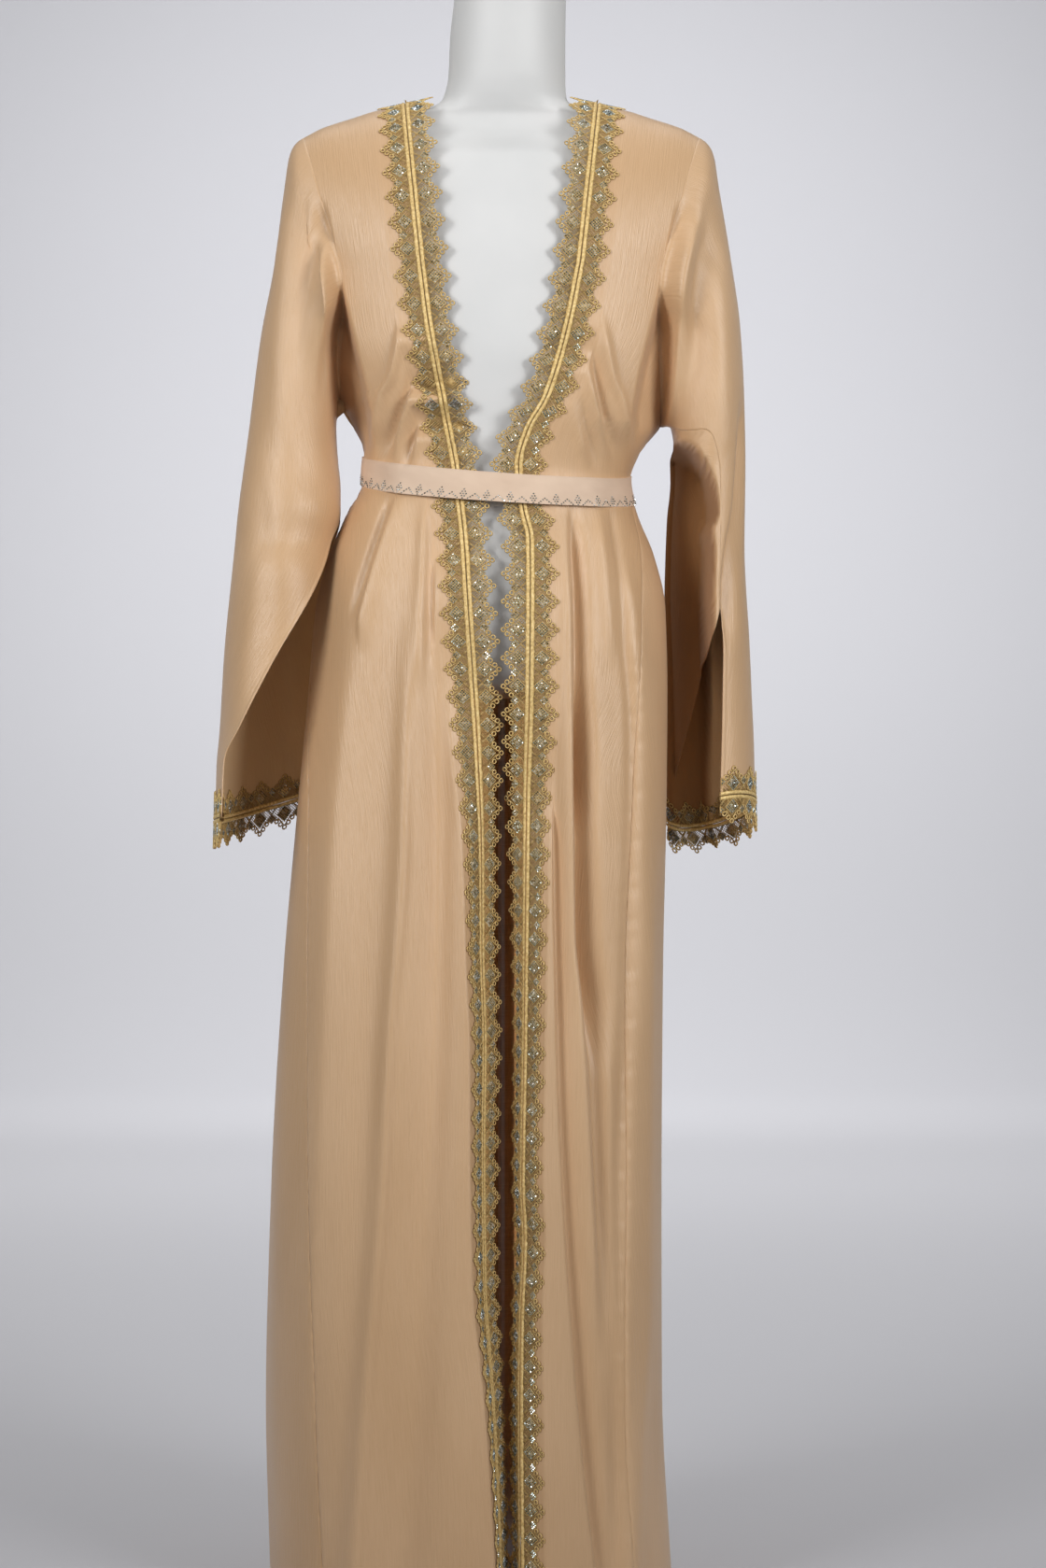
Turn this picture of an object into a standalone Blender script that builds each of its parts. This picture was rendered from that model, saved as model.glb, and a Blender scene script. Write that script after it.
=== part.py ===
"""Abaya cloak on a limbless dress form.

An open-fronted cloak of crinkled satin crepe: two fronts, a back, two loose sleeves slit from the elbow,
a lace band along both fronts, the back neck and the cuffs, and a flat cloth belt. It is worn by a smooth
dress form without limbs, on a pole and a round base plate.

Metres, +Z up. The floor is Z = 0, the form's axis is X = Y = 0 and its front faces -Y, so the garment's
right side is at -X.
"""

import math

import bmesh
import bpy
import numpy as np

# Cloth and trim
WALL = 0.0012
SEAM_GAP = 0.0006
LACE_WALL = 0.0012
LACE_GAP = 0.0012
CURVED_LACE_GAP = 0.0021
STRAIGHT_CUFF_GAP = 0.0009
LACE_TIP = 0.027
LACE_VALLEY = 0.015
LACE_PITCH = 0.0263
ARMHOLE_TURN = 36.0
ARMHOLE_ROWS = 10
STRIP = 0.030
STRIP_U = 0.2
BELT_WALL = 0.0025

# Heights
CHEST_Z = 1.270
UNDERARM_Z = {-1: 1.150, 1: 1.126}
HEM_Z = 0.015

# Neck and shoulder
NECK_X = 0.0925
TIP_X = 0.190
NECK_BACK_Y = 0.078
NECK_DROP = 0.010
NECK_T = 0.25

# Dress form and stand
POLE_RADIUS = 0.0125
BASE_RADIUS = 0.140
BASE_HEIGHT = 0.012
FORM_BOTTOM_Z = 0.862
FORM_TOP_Z = 1.540
CAP_HEIGHT = 0.010
FIT_GAP = 0.0003

# Plan section of the cloak at each height: z, x of its right side, x of its left side, depth to the
# front, depth to the back, and the angles of the two side seams from the front centre, in degrees.
BODY = (
    (0.015, -0.217, 0.166, 0.150, 0.170, 45, 50),
    (0.200, -0.223, 0.156, 0.146, 0.160, 46, 50),
    (0.400, -0.2195, 0.155, 0.138, 0.148, 51, 52),
    (0.600, -0.2095, 0.156, 0.129, 0.138, 58, 52),
    (0.750, -0.197, 0.159, 0.122, 0.130, 67, 53),
    (0.870, -0.186, 0.160, 0.117, 0.124, 80, 54),
    (0.950, -0.179, 0.158, 0.112, 0.118, 85, 58),
    (1.000, -0.166, 0.147, 0.104, 0.110, 86, 66),
    (1.040, -0.149, 0.131, 0.097, 0.102, 86, 76),
    (1.070, -0.134, 0.1235, 0.094, 0.096, 86, 82),
    (1.100, -0.133, 0.134, 0.097, 0.098, 87, 85),
    (1.126, -0.144, 0.154, 0.101, 0.101, 88, 88),
    (1.150, -0.158, 0.165, 0.104, 0.104, 88, 88),
    (1.200, -0.180, 0.180, 0.107, 0.106, 88, 88),
    (1.270, -0.192, 0.192, 0.107, 0.104, 88, 88),
)

# Front edges, where the braid of the lace lies: z, x of the right edge.
RIGHT_EDGE = (
    (0.015, 0.000),
    (0.100, -0.003),
    (0.200, -0.008),
    (0.241, -0.0110),
    (0.315, -0.0163),
    (0.440, -0.0175),
    (0.540, -0.0166),
    (0.620, -0.0187),
    (0.715, -0.0191),
    (0.815, -0.0223),
    (0.880, -0.0262),
    (0.950, -0.0306),
    (1.006, -0.0342),
    (1.040, -0.0378),
    (1.080, -0.0430),
    (1.112, -0.0491),
    (1.172, -0.0603),
    (1.210, -0.0673),
    (1.271, -0.0752),
)

# z, x of the left edge.
LEFT_EDGE = (
    (0.015, 0.0195),
    (0.200, 0.0185),
    (0.280, 0.0195),
    (0.357, 0.0225),
    (0.407, 0.0205),
    (0.540, 0.0226),
    (0.660, 0.0237),
    (0.765, 0.0245),
    (0.865, 0.0268),
    (0.980, 0.0275),
    (1.009, 0.0272),
    (1.040, 0.0205),
    (1.080, 0.0165),
    (1.112, 0.0251),
    (1.143, 0.0425),
    (1.210, 0.0625),
    (1.271, 0.0747),
)

# How far the two fronts roll inwards at their edges: z, then in degrees the right cloth, the right lace
# beyond it, the left cloth and the left lace beyond it.
ROLL = (
    (0.015, 84, 72, 38, 75),
    (0.200, 78, 65, 42, 74),
    (0.300, 72, 58, 48, 74),
    (0.530, 66, 52, 48, 72),
    (0.720, 54, 50, 38, 54),
    (0.860, 20, 22, 8, 22),
    (0.950, 0, 4, 0, 4),
    (1.271, 0, 0, 0, 0),
)

# Top of the shoulder: distance from the form's axis, z.
SHOULDER = (
    (0.0925, 1.4345),
    (0.1243, 1.4273),
    (0.1424, 1.4215),
    (0.1721, 1.4120),
    (0.1900, 1.4030),
)

# Long folds of the skirt: depth outwards, half width, z where it ends above and below, then its course
# as (z, x) pairs on the front.
FRONT_FOLDS = (
    (0.0050, 0.016, 1.00, 0.0, ((1.05, -0.070), (0.87, -0.083), (0.60, -0.095), (0.30, -0.114), (0.0, -0.133))),
    (0.0050, 0.026, 1.06, 0.0, ((1.05, -0.098), (0.94, -0.130), (0.70, -0.152), (0.30, -0.158), (0.0, -0.165))),
    (-0.0060, 0.022, 0.98, 0.0, ((1.05, -0.055), (0.70, -0.060), (0.30, -0.075), (0.0, -0.095))),
    (-0.0070, 0.008, 1.00, 0.0, ((1.00, 0.046), (0.80, 0.049), (0.56, 0.056), (0.38, 0.064), (0.0, 0.098))),
    (-0.0120, 0.016, 1.05, 0.30, ((1.05, 0.060), (0.95, 0.076), (0.64, 0.083), (0.30, 0.100))),
    (0.0060, 0.018, 1.04, 0.0, ((1.05, 0.080), (0.95, 0.118), (0.80, 0.134), (0.40, 0.122), (0.0, 0.116))),
)

# Long folds of the back: depth outwards, half width in degrees, z where it ends above, angle from the
# front centre at the waist and at the hem.
BACK_FOLDS = (
    (0.0080, 12, 1.05, -112, -100),
    (-0.0060, 11, 1.03, -130, -122),
    (0.0090, 13, 1.05, -150, -146),
    (-0.0070, 11, 1.04, -170, -168),
    (0.0090, 13, 1.05, -192, -192),
    (-0.0070, 11, 1.03, -212, -216),
    (0.0085, 12, 1.05, -232, -240),
    (-0.0060, 11, 1.04, -250, -262),
)

# Rings of a sleeve from the armhole to the cuff. x and z of the outer point, x and z of the point
# nearest the body, y of the middle, depth to the front and to the back, how much higher the front of the
# ring is, and the angles of the front layer's and the back layer's edge, from the point nearest the body
# round by the front. The edges are sewn together down to the elbow and open below it.
RIGHT_SLEEVE = (
    (-0.1900, 1.403, -0.1592, 1.150, 0.000, 0.068, 0.070, 0.0, 0, 360),
    (-0.2036, 1.387, -0.1600, 1.143, 0.000, 0.066, 0.067, 0.0, 0, 360),
    (-0.2100, 1.348, -0.1600, 1.132, 0.000, 0.063, 0.063, 0.0, 0, 360),
    (-0.2189, 1.280, -0.1592, 1.112, 0.000, 0.060, 0.059, 0.0, 0, 360),
    (-0.2320, 1.209, -0.1575, 1.090, -0.002, 0.058, 0.057, 0.0, 0, 360),
    (-0.2430, 1.120, -0.1550, 1.066, -0.006, 0.057, 0.057, 0.0, 0, 360),
    (-0.2523, 1.045, -0.1545, 1.041, -0.014, 0.058, 0.060, 0.0, 0, 360),
    (-0.2560, 1.012, -0.1590, 1.012, -0.008, 0.065, 0.070, 0.0, 22, 335),
    (-0.2600, 0.975, -0.1570, 0.985, -0.004, 0.078, 0.085, 0.0, 40, 316),
    (-0.2670, 0.906, -0.1520, 0.918, 0.000, 0.088, 0.095, 0.0, 84, 305),
    (-0.2710, 0.832, -0.1510, 0.845, 0.000, 0.115, 0.098, 0.0, 122, 302),
    (-0.2735, 0.797, -0.1500, 0.818, 0.000, 0.145, 0.098, 0.0, 140, 300),
    (-0.2745, 0.745, -0.1500, 0.782, 0.000, 0.160, 0.098, 0.0, 141, 300),
)

LEFT_SLEEVE = (
    (0.1900, 1.403, 0.1560, 1.126, 0.000, 0.068, 0.070, 0.0, 0, 360),
    (0.2036, 1.387, 0.1610, 1.122, 0.000, 0.066, 0.067, 0.0, 8, 368),
    (0.2100, 1.350, 0.1645, 1.115, 0.000, 0.063, 0.063, 0.0, 18, 378),
    (0.2210, 1.285, 0.1665, 1.100, 0.000, 0.060, 0.059, 0.0, 36, 396),
    (0.2300, 1.221, 0.1670, 1.078, 0.000, 0.058, 0.057, 0.0, 62, 422),
    (0.2340, 1.150, 0.1660, 1.062, 0.000, 0.057, 0.056, 0.0, 92, 452),
    (0.2351, 1.086, 0.1640, 1.045, 0.000, 0.056, 0.055, 0.0, 104, 464),
    (0.2342, 1.010, 0.1620, 1.000, 0.000, 0.056, 0.056, 0.0, 107, 467),
    (0.2360, 0.964, 0.1612, 0.964, 0.000, 0.056, 0.056, 0.0, 108, 468),
    (0.2387, 0.925, 0.1618, 0.925, 0.002, 0.058, 0.056, 0.0, 106, 453),
    (0.2414, 0.868, 0.1625, 0.862, 0.005, 0.060, 0.057, 0.004, 102, 434),
    (0.2440, 0.812, 0.1630, 0.800, 0.008, 0.062, 0.059, 0.009, 98, 407),
    (0.2450, 0.763, 0.1635, 0.744, 0.010, 0.063, 0.061, 0.014, 95, 374),
)

# Dress form at each height: z, x of its middle, half width, depth to the front, depth to the back.
FORM = (
    (0.862, 0.000, 0.060, 0.050, 0.050),
    (0.868, 0.000, 0.100, 0.075, 0.080),
    (0.885, 0.000, 0.122, 0.088, 0.095),
    (0.930, 0.000, 0.132, 0.094, 0.100),
    (1.000, 0.000, 0.126, 0.087, 0.091),
    (1.040, 0.000, 0.116, 0.081, 0.085),
    (1.070, 0.000, 0.109, 0.077, 0.080),
    (1.100, 0.000, 0.112, 0.080, 0.081),
    (1.150, 0.000, 0.128, 0.089, 0.086),
    (1.200, 0.000, 0.142, 0.095, 0.089),
    (1.270, 0.000, 0.152, 0.094, 0.088),
    (1.330, 0.000, 0.158, 0.084, 0.080),
    (1.375, 0.000, 0.166, 0.066, 0.066),
)
SHOULDER_RINGS = ((1.398, 0.040, 0.042), (1.409, 0.032, 0.034), (1.420, 0.030, 0.030))
NECK = (
    (1.4290, 0.002, 0.076, 0.036, 0.038),
    (1.4400, 0.003, 0.060, 0.042, 0.044),
    (1.4600, 0.005, 0.0565, 0.048, 0.048),
    (1.5000, 0.006, 0.0555, 0.052, 0.050),
    (1.5400, 0.0086, 0.0536, 0.053, 0.052),
)
SHOULDER_CLEAR = 0.0008

CLOTH_COLOUR = (0.70, 0.53, 0.36, 1.0)
LACE_COLOUR = (0.62, 0.45, 0.18, 1.0)
BELT_COLOUR = (0.74, 0.56, 0.42, 1.0)
FORM_COLOUR = (0.80, 0.80, 0.79, 1.0)
STAND_COLOUR = (0.55, 0.55, 0.56, 1.0)


def smooth_curve(xs, ys, x):
    """A smooth curve through the points, level wherever they turn."""
    xs, ys = np.asarray(xs, float), np.asarray(ys, float)
    slope = np.diff(ys) / np.diff(xs)
    tangent = np.empty(len(xs))
    tangent[0], tangent[-1] = slope[0], slope[-1]
    before, after = slope[:-1], slope[1:]
    total = np.where(before + after == 0.0, 1.0, before + after)
    tangent[1:-1] = np.where(before * after > 0.0, 2.0 * before * after / total, 0.0)
    x = np.clip(np.asarray(x, float), xs[0], xs[-1])
    k = np.clip(np.searchsorted(xs, x, side="right") - 1, 0, len(xs) - 2)
    width = xs[k + 1] - xs[k]
    s = (x - xs[k]) / width
    bend = (1.0 - s) ** 2 * s * width * tangent[k] - s**2 * (1.0 - s) * width * tangent[k + 1]
    return (1.0 - s) ** 2 * (1.0 + 2.0 * s) * ys[k] + s**2 * (3.0 - 2.0 * s) * ys[k + 1] + bend


def column(table, index, at):
    """A column of a table on a smooth curve over its first column."""
    return smooth_curve([row[0] for row in table], [row[index] for row in table], at)


def ease(x):
    x = np.clip(x, 0.0, 1.0)
    return x * x * (3.0 - 2.0 * x)


def middle_and_half(z):
    right, left = column(BODY, 1, z), column(BODY, 2, z)
    return (left + right) / 2.0, (left - right) / 2.0


def angle_at(x, z):
    """Angle on the front of the section, from its centre, where it has this x."""
    middle, half = middle_and_half(z)
    return np.arcsin(np.clip((x - middle) / half, -1.0, 1.0))


def fold_depth(angle, z):
    """How far the folds move the cloth outwards at this angle from the front centre."""
    depth = np.zeros(np.broadcast(angle, z).shape)
    middle, half = middle_and_half(z)
    x = middle + half * np.sin(angle)
    front = np.clip(np.cos(angle) * 4.0, 0.0, 1.0)
    for height, width, top, bottom, course in FRONT_FOLDS:
        course = sorted(course)
        centre = smooth_curve([p[0] for p in course], [p[1] for p in course], z)
        fade = ease((top - z) / 0.12) * ease((z - bottom) / 0.12 if bottom > 0.0 else 1.0)
        spread = width * (0.75 + 0.45 * (1.0 - z))
        depth += height * fade * front * np.exp(-(((x - centre) / spread) ** 2))
    turned = np.where(angle > 0.0, angle - 2.0 * math.pi, angle)
    for height, width, top, waist, hem in BACK_FOLDS:
        centre = np.radians(waist + (hem - waist) * np.clip((1.05 - z) / 1.03, 0.0, 1.0))
        fade = ease((top - z) / 0.25) * (0.5 + 0.7 * np.clip(1.05 - z, 0.0, 1.0))
        depth += height * fade * np.exp(-(((turned - centre) / math.radians(width)) ** 2))
    return depth


def section(angle, z, out=0.0):
    """Point of the cloak's outer face at an angle from the front centre, or a distance outside it."""
    middle, half = middle_and_half(z)
    deep = np.where(np.cos(angle) > 0.0, column(BODY, 3, z), column(BODY, 4, z))
    normal_x, normal_y = deep * np.sin(angle), -half * np.cos(angle)
    length = np.hypot(normal_x, normal_y)
    push = (fold_depth(angle, z) + out) / length
    x = middle + half * np.sin(angle) + normal_x * push
    y = -deep * np.cos(angle) + normal_y * push
    return np.stack(np.broadcast_arrays(x, y, z), axis=-1)


def side_angle(side, z, turn):
    """Angle of the side seam. Above the underarm it parts by this turn, into the armhole's front or
    back."""
    seam = column(BODY, 5 if side < 0 else 6, z)
    rise = np.clip((z - UNDERARM_Z[side]) / (CHEST_Z - UNDERARM_Z[side]), 0.0, 1.0)
    return np.radians(seam + turn * np.sqrt(rise * (2.0 - rise)))


def shoulder_top(x):
    return smooth_curve([p[0] for p in SHOULDER], [p[1] for p in SHOULDER], np.abs(x))


def edge_x(side, z):
    return column(RIGHT_EDGE if side < 0 else LEFT_EDGE, 1, z)


def front_low(side, u, z):
    """Front at and below the chest. u is 0 at the front edge, STRIP_U at the lace's outer line and 1 at
    the side."""
    cloth_roll = np.radians(column(ROLL, 1 if side < 0 else 3, z))
    x_edge = edge_x(side, z)
    x_line = x_edge + side * STRIP * np.cos(cloth_roll)
    line_angle = angle_at(x_line, z)
    line = section(line_angle, z)
    edge = section(angle_at(x_edge, z), z)
    edge[..., 1] = np.maximum(edge[..., 1], line[..., 1] - 0.004) + STRIP * np.sin(cloth_roll)
    edge[..., 0] = x_edge
    across = np.clip(u / STRIP_U, 0.0, 1.0)[..., None]
    strip = edge + (line - edge) * across
    share = np.clip((u - STRIP_U) / (1.0 - STRIP_U), 0.0, 1.0)
    last = side * (side_angle(side, z, -ARMHOLE_TURN) - SEAM_GAP / 2.0 / 0.15)
    rest = section(line_angle + (last - line_angle) * share, z)
    return np.where((u <= STRIP_U)[..., None], strip, rest)


def over_shoulder(low, top, t):
    """Course of the cloth from the chest line to the shoulder: upright below, level at the top."""
    rise, stay = np.sin(t * math.pi / 2.0), np.cos(t * math.pi / 2.0)
    x = low[..., 0] + (top[..., 0] - low[..., 0]) * rise
    y = top[..., 1] + (low[..., 1] - top[..., 1]) * stay
    z = low[..., 2] + (top[..., 2] - low[..., 2]) * rise
    return np.stack([x, y, z], axis=-1)


def front(side, u, row):
    """Front panel. row runs from 0 at the shoulder seam to 1 at the chest, then by height: row = 1 +
    (CHEST_Z - z)."""
    z = CHEST_Z - np.clip(row - 1.0, 0.0, None)
    low = front_low(side, u, z)
    strip_share = np.clip(u / STRIP_U, 0.0, 1.0)
    rest_share = np.clip((u - STRIP_U) / (1.0 - STRIP_U), 0.0, 1.0)
    top_x = NECK_X + STRIP * strip_share + (TIP_X - NECK_X - STRIP) * rest_share
    top = np.stack([side * top_x, np.full(u.shape, -SEAM_GAP / 2.0), shoulder_top(top_x)], axis=-1)
    t = np.clip(1.0 - row, 0.0, 1.0)
    return over_shoulder(low, top, t)


def back(t, row_right, row_left):
    """Back panel. t runs from the right side seam, 0, to the left one, 1."""
    row = row_right + (row_left - row_right) * t
    z_right = CHEST_Z - np.clip(row_right - 1.0, 0.0, None)
    z_left = CHEST_Z - np.clip(row_left - 1.0, 0.0, None)
    z = z_right + (z_left - z_right) * t
    start = -side_angle(-1, z_right, ARMHOLE_TURN) - SEAM_GAP / 2.0 / 0.15
    end = side_angle(1, z_left, ARMHOLE_TURN) + SEAM_GAP / 2.0 / 0.15 - 2.0 * math.pi
    low = section(start + (end - start) * t, z)
    side_share = np.clip(np.minimum(t, 1.0 - t) / NECK_T, 0.0, 1.0)
    seam_x = TIP_X + (NECK_X - TIP_X) * side_share
    q = np.clip((t - NECK_T) / (1.0 - 2.0 * NECK_T), 0.0, 1.0) * math.pi
    on_seam = (t <= NECK_T) | (t >= 1.0 - NECK_T)
    x = np.where(on_seam, np.where(t < 0.5, -seam_x, seam_x), -NECK_X * np.cos(q))
    y = SEAM_GAP / 2.0 + np.where(on_seam, 0.0, NECK_BACK_Y * np.sin(q) ** 0.8)
    top_z = shoulder_top(seam_x) - np.where(on_seam, 0.0, NECK_DROP * np.sin(q))
    top = np.stack([x, y, top_z], axis=-1)
    return over_shoulder(low, top, np.clip(1.0 - row, 0.0, 1.0))


def sleeve_ring(table, w, s):
    """Sleeve ring point. w runs from the front layer's edge, 0, round to the back layer's, 1; s counts
    rings from the armhole."""
    numbered = [(k,) + row for k, row in enumerate(table)]
    outer_x, outer_z, inner_x, inner_z, middle_y, front_y, back_y, rise, first, last = (
        column(numbered, index, s) for index in range(1, 11)
    )
    angle = np.radians(first + (last - first) * w)
    x = (outer_x + inner_x) / 2.0 + (inner_x - outer_x) / 2.0 * np.cos(angle)
    z = (outer_z + inner_z) / 2.0 + (inner_z - outer_z) / 2.0 * np.cos(angle) + rise * np.sin(angle)
    y = middle_y - np.where(np.sin(angle) > 0.0, front_y, back_y) * np.sin(angle)
    return np.stack(np.broadcast_arrays(x, y, z), axis=-1)


def armhole(side, w):
    """Armhole of the body panels. w runs from the underarm, 0, over the front to the shoulder, 0.5, and
    down the back to 1."""
    rows = body_rows(side)[:ARMHOLE_ROWS]
    row = np.interp(np.abs(1.0 - 2.0 * w), np.linspace(0.0, 1.0, ARMHOLE_ROWS), rows)
    in_front = front(side, np.ones(w.shape), row)
    end = np.zeros(w.shape) if side < 0 else np.ones(w.shape)
    behind = back(end, row, row)
    points = np.where((w <= 0.5)[..., None], in_front, behind)
    points[..., 0] += side * SEAM_GAP
    points[..., 1] *= np.where(np.abs(points[..., 1]) < SEAM_GAP, 0.0, 1.0)
    return points


def sleeve(side, w, s):
    """Sleeve, with its first ring moved onto the armhole."""
    table = RIGHT_SLEEVE if side < 0 else LEFT_SLEEVE
    ring = sleeve_ring(table, w, s)
    first = armhole(side, w) - sleeve_ring(table, w, np.zeros(w.shape))
    return ring + first * ((1.0 - np.clip(s / 4.0, 0.0, 1.0)) ** 2)[..., None]


def new_material(name, colour, roughness, metallic=0.0):
    material = bpy.data.materials.new(name)
    material.use_nodes = True
    shader = material.node_tree.nodes["Principled BSDF"]
    shader.inputs["Base Color"].default_value = colour
    shader.inputs["Roughness"].default_value = roughness
    shader.inputs["Metallic"].default_value = metallic
    return material


def add_object(name, mesh, material, collection):
    obj = bpy.data.objects.new(name, mesh)
    obj.data.materials.append(material)
    collection.objects.link(obj)
    return obj


def sheet_mesh(name, points, weld=False, fill=False, flip=False):
    """Grid of rows and columns with its vertices moved to these points."""
    rows, columns = points.shape[:2]
    bm = bmesh.new()
    bmesh.ops.create_grid(bm, x_segments=columns - 1, y_segments=rows - 1, size=1.0)
    for vert in bm.verts:
        j = round((vert.co.x + 1.0) / 2.0 * (columns - 1))
        i = round((vert.co.y + 1.0) / 2.0 * (rows - 1))
        vert.co = points[i, j]
    if weld:
        bmesh.ops.remove_doubles(bm, verts=bm.verts[:], dist=0.00002)
    if fill:
        bmesh.ops.holes_fill(bm, edges=[edge for edge in bm.edges if edge.is_boundary])
    if flip:
        bmesh.ops.reverse_faces(bm, faces=bm.faces[:])
    mesh = bpy.data.meshes.new(name)
    bm.to_mesh(mesh)
    bm.free()
    mesh.shade_smooth()
    return mesh


def faces_away(points, centre):
    """True where the grid's faces point away from this line of centres."""
    across = points[1:-1, 2:] - points[1:-1, :-2]
    along = points[2:, 1:-1] - points[:-2, 1:-1]
    normal = np.cross(across, along)
    return float((normal * (points[1:-1, 1:-1] - centre)).sum()) > 0.0


def add_wall(name, points, thickness, centre, material, collection, weld=False):
    """Cloth of even thickness whose outer face is this grid; the wall lies on the side of the centre."""
    mesh = sheet_mesh(name, points, weld=weld, flip=not faces_away(points, centre))
    obj = add_object(name, mesh, material, collection)
    solid = obj.modifiers.new("Wall", "SOLIDIFY")
    solid.thickness = thickness
    solid.offset = -1.0
    solid.use_even_offset = True
    return obj


def body_rows(side):
    """Rows of a body panel at one side, from the shoulder to the hem."""
    under = UNDERARM_Z[side]
    shoulder = [0.0, 0.12, 0.3, 0.52, 0.76]
    chest = [CHEST_Z + (under - CHEST_Z) * share for share in (0.0, 0.3, 0.6, 0.85, 1.0)]
    waist = [under + (1.10 - under) * share for share in (0.5, 1.0)]
    hips = [1.084, 1.07, 1.055, 1.04, 1.022, 1.0, 0.965, 0.935, 0.905, 0.88, 0.855, 0.83, 0.80, 0.77]
    skirt = [0.73, 0.68, 0.60, 0.50, 0.38, 0.28, 0.19, 0.10, HEM_Z]
    return np.array(shoulder + [1.0 + CHEST_Z - z for z in chest + waist + hips + skirt])


def front_columns():
    return np.array([0.0, STRIP_U / 2.0] + list(np.linspace(STRIP_U, 1.0, 11)))


def back_columns():
    inner = np.linspace(NECK_T, 1.0 - NECK_T, 13)
    outer = np.linspace(0.0, NECK_T, 5)[:-1]
    return np.concatenate([outer, inner, 1.0 - outer[::-1]])


def front_points(side):
    row, u = np.meshgrid(body_rows(side), front_columns(), indexing="ij")
    return front(side, u, row)


def back_points():
    right, t = np.meshgrid(body_rows(-1), back_columns(), indexing="ij")
    left = np.meshgrid(body_rows(1), back_columns(), indexing="ij")[0]
    return back(t, right, left)


SLEEVE_RINGS = np.array([0, 0.35, 0.7, 1.2, 2, 3, 4, 5, 6, 6.5, 7, 7.5, 8, 8.5, 9, 9.5, 10, 10.5, 11, 12])
SLEEVE_SIDES = 2 * (ARMHOLE_ROWS - 1)


def sleeve_points(side):
    table = RIGHT_SLEEVE if side < 0 else LEFT_SLEEVE
    last = len(table) - 1
    s, w = np.meshgrid(SLEEVE_RINGS * last / 12.0, np.linspace(0.0, 1.0, SLEEVE_SIDES + 1), indexing="ij")
    return sleeve(side, w, s)


def unit(vectors):
    return vectors / np.linalg.norm(vectors, axis=-1, keepdims=True)


def resample(line, steps):
    """Points at even steps along a polyline, with the segment and share of each."""
    length = np.concatenate([[0.0], np.cumsum(np.linalg.norm(np.diff(line, axis=0), axis=1))])
    return np.interp(np.linspace(0.0, length[-1], steps + 1), length, np.arange(len(line)))


def between(values, at):
    """Rows of an array at fractional positions, straight between them."""
    k = np.clip(np.floor(at).astype(int), 0, len(values) - 2)
    share = (at - k).reshape((-1,) + (1,) * (values.ndim - 1))
    return values[k] * (1.0 - share) + values[k + 1] * share


def lace_points(cloth, bend, trim, gap=LACE_GAP):
    """Scalloped lace band. cloth holds the cloth's points: along its edge, then away from it. One half of
    the band lies on the cloth, the other half runs on beyond the edge, bent inwards by this angle."""
    edge = cloth[:, 0]
    repeats = max(2, round(np.linalg.norm(np.diff(edge, axis=0), axis=1).sum() / LACE_PITCH))
    scallops = resample(edge, 2 * repeats)
    rows = np.arange(len(edge), dtype=float)
    near = np.abs(rows[:, None] - scallops[None]).min(axis=0) < 0.2
    at = np.sort(np.concatenate([scallops[~near], rows]))
    snapped = np.where(near, np.round(scallops), scallops)
    reach = np.interp(at, snapped, np.where(np.arange(len(snapped)) % 2 == 1, LACE_TIP, LACE_VALLEY))
    at[0] += trim
    at[-1] -= trim
    away = between(cloth, at)
    bend = between(bend, at)[:, None]
    steps = np.linalg.norm(np.diff(away, axis=1), axis=2)
    distance = np.concatenate([np.zeros((len(at), 1)), np.cumsum(steps, axis=1)], axis=1)
    on_cloth = unit(away[:, 1] - away[:, 0])
    along = np.gradient(away[:, 0], axis=0)
    normal = unit(np.cross(on_cloth, along))
    lifted = away + (normal * gap)[:, None]
    shares = np.linspace(1.0, 0.0, cloth.shape[1])[:-1] if cloth.shape[1] > 2 else [1.0]
    half = [
        np.array([between(lifted[k], np.interp([reach[k] * share], distance[k], np.arange(away.shape[1])))[0]
                  for k in range(len(at))])
        for share in shares
    ]
    beyond = -on_cloth * np.cos(bend) - normal * np.sin(bend)
    return np.stack(half + [lifted[:, 0], lifted[:, 0] + beyond * reach[:, None]], axis=1)


def add_lace(name, points, material, collection):
    """The band's inner face is this grid, and its wall lies outside it."""
    mesh = sheet_mesh(name, points, flip=True)
    obj = add_object(name, mesh, material, collection)
    solid = obj.modifiers.new("Wall", "SOLIDIFY")
    solid.thickness = LACE_WALL
    solid.offset = 1.0
    solid.use_even_offset = True
    return obj


def front_lace(side):
    """Lace on a front, from the shoulder seam to the hem. Columns run so that its normal points out."""
    points = front_points(side)[:, :3:2]
    z = CHEST_Z - np.clip(body_rows(side) - 1.0, 0.0, None)
    first = 1 if side < 0 else 3
    bend = np.radians(column(ROLL, first + 1, z) - column(ROLL, first, z))
    return lace_points(points[:: -side], bend[:: -side], 0.12)


def neck_lace():
    """Lace on the back panel along the back neckline, from one shoulder seam to the other."""
    columns = back_columns()
    on_neck = (columns >= NECK_T - 1e-6) & (columns <= 1.0 - NECK_T + 1e-6)
    points = back_points()[:5, on_neck].swapaxes(0, 1)
    return lace_points(points[::-1], np.zeros(len(points)), 0.12, CURVED_LACE_GAP)


def cuff_lace(side):
    """Lace round a cuff from the front layer's edge to the back layer's."""
    points = sleeve_points(side)[:-3:-1].swapaxes(0, 1)
    gap = STRAIGHT_CUFF_GAP if side < 0 else CURVED_LACE_GAP
    return lace_points(points[:: -side], np.zeros(len(points)), 0.08, gap)


def belt_height(angle):
    return 1.0725 - 0.0145 * np.cos(angle) - 0.0095 * np.sin(angle)


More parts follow.
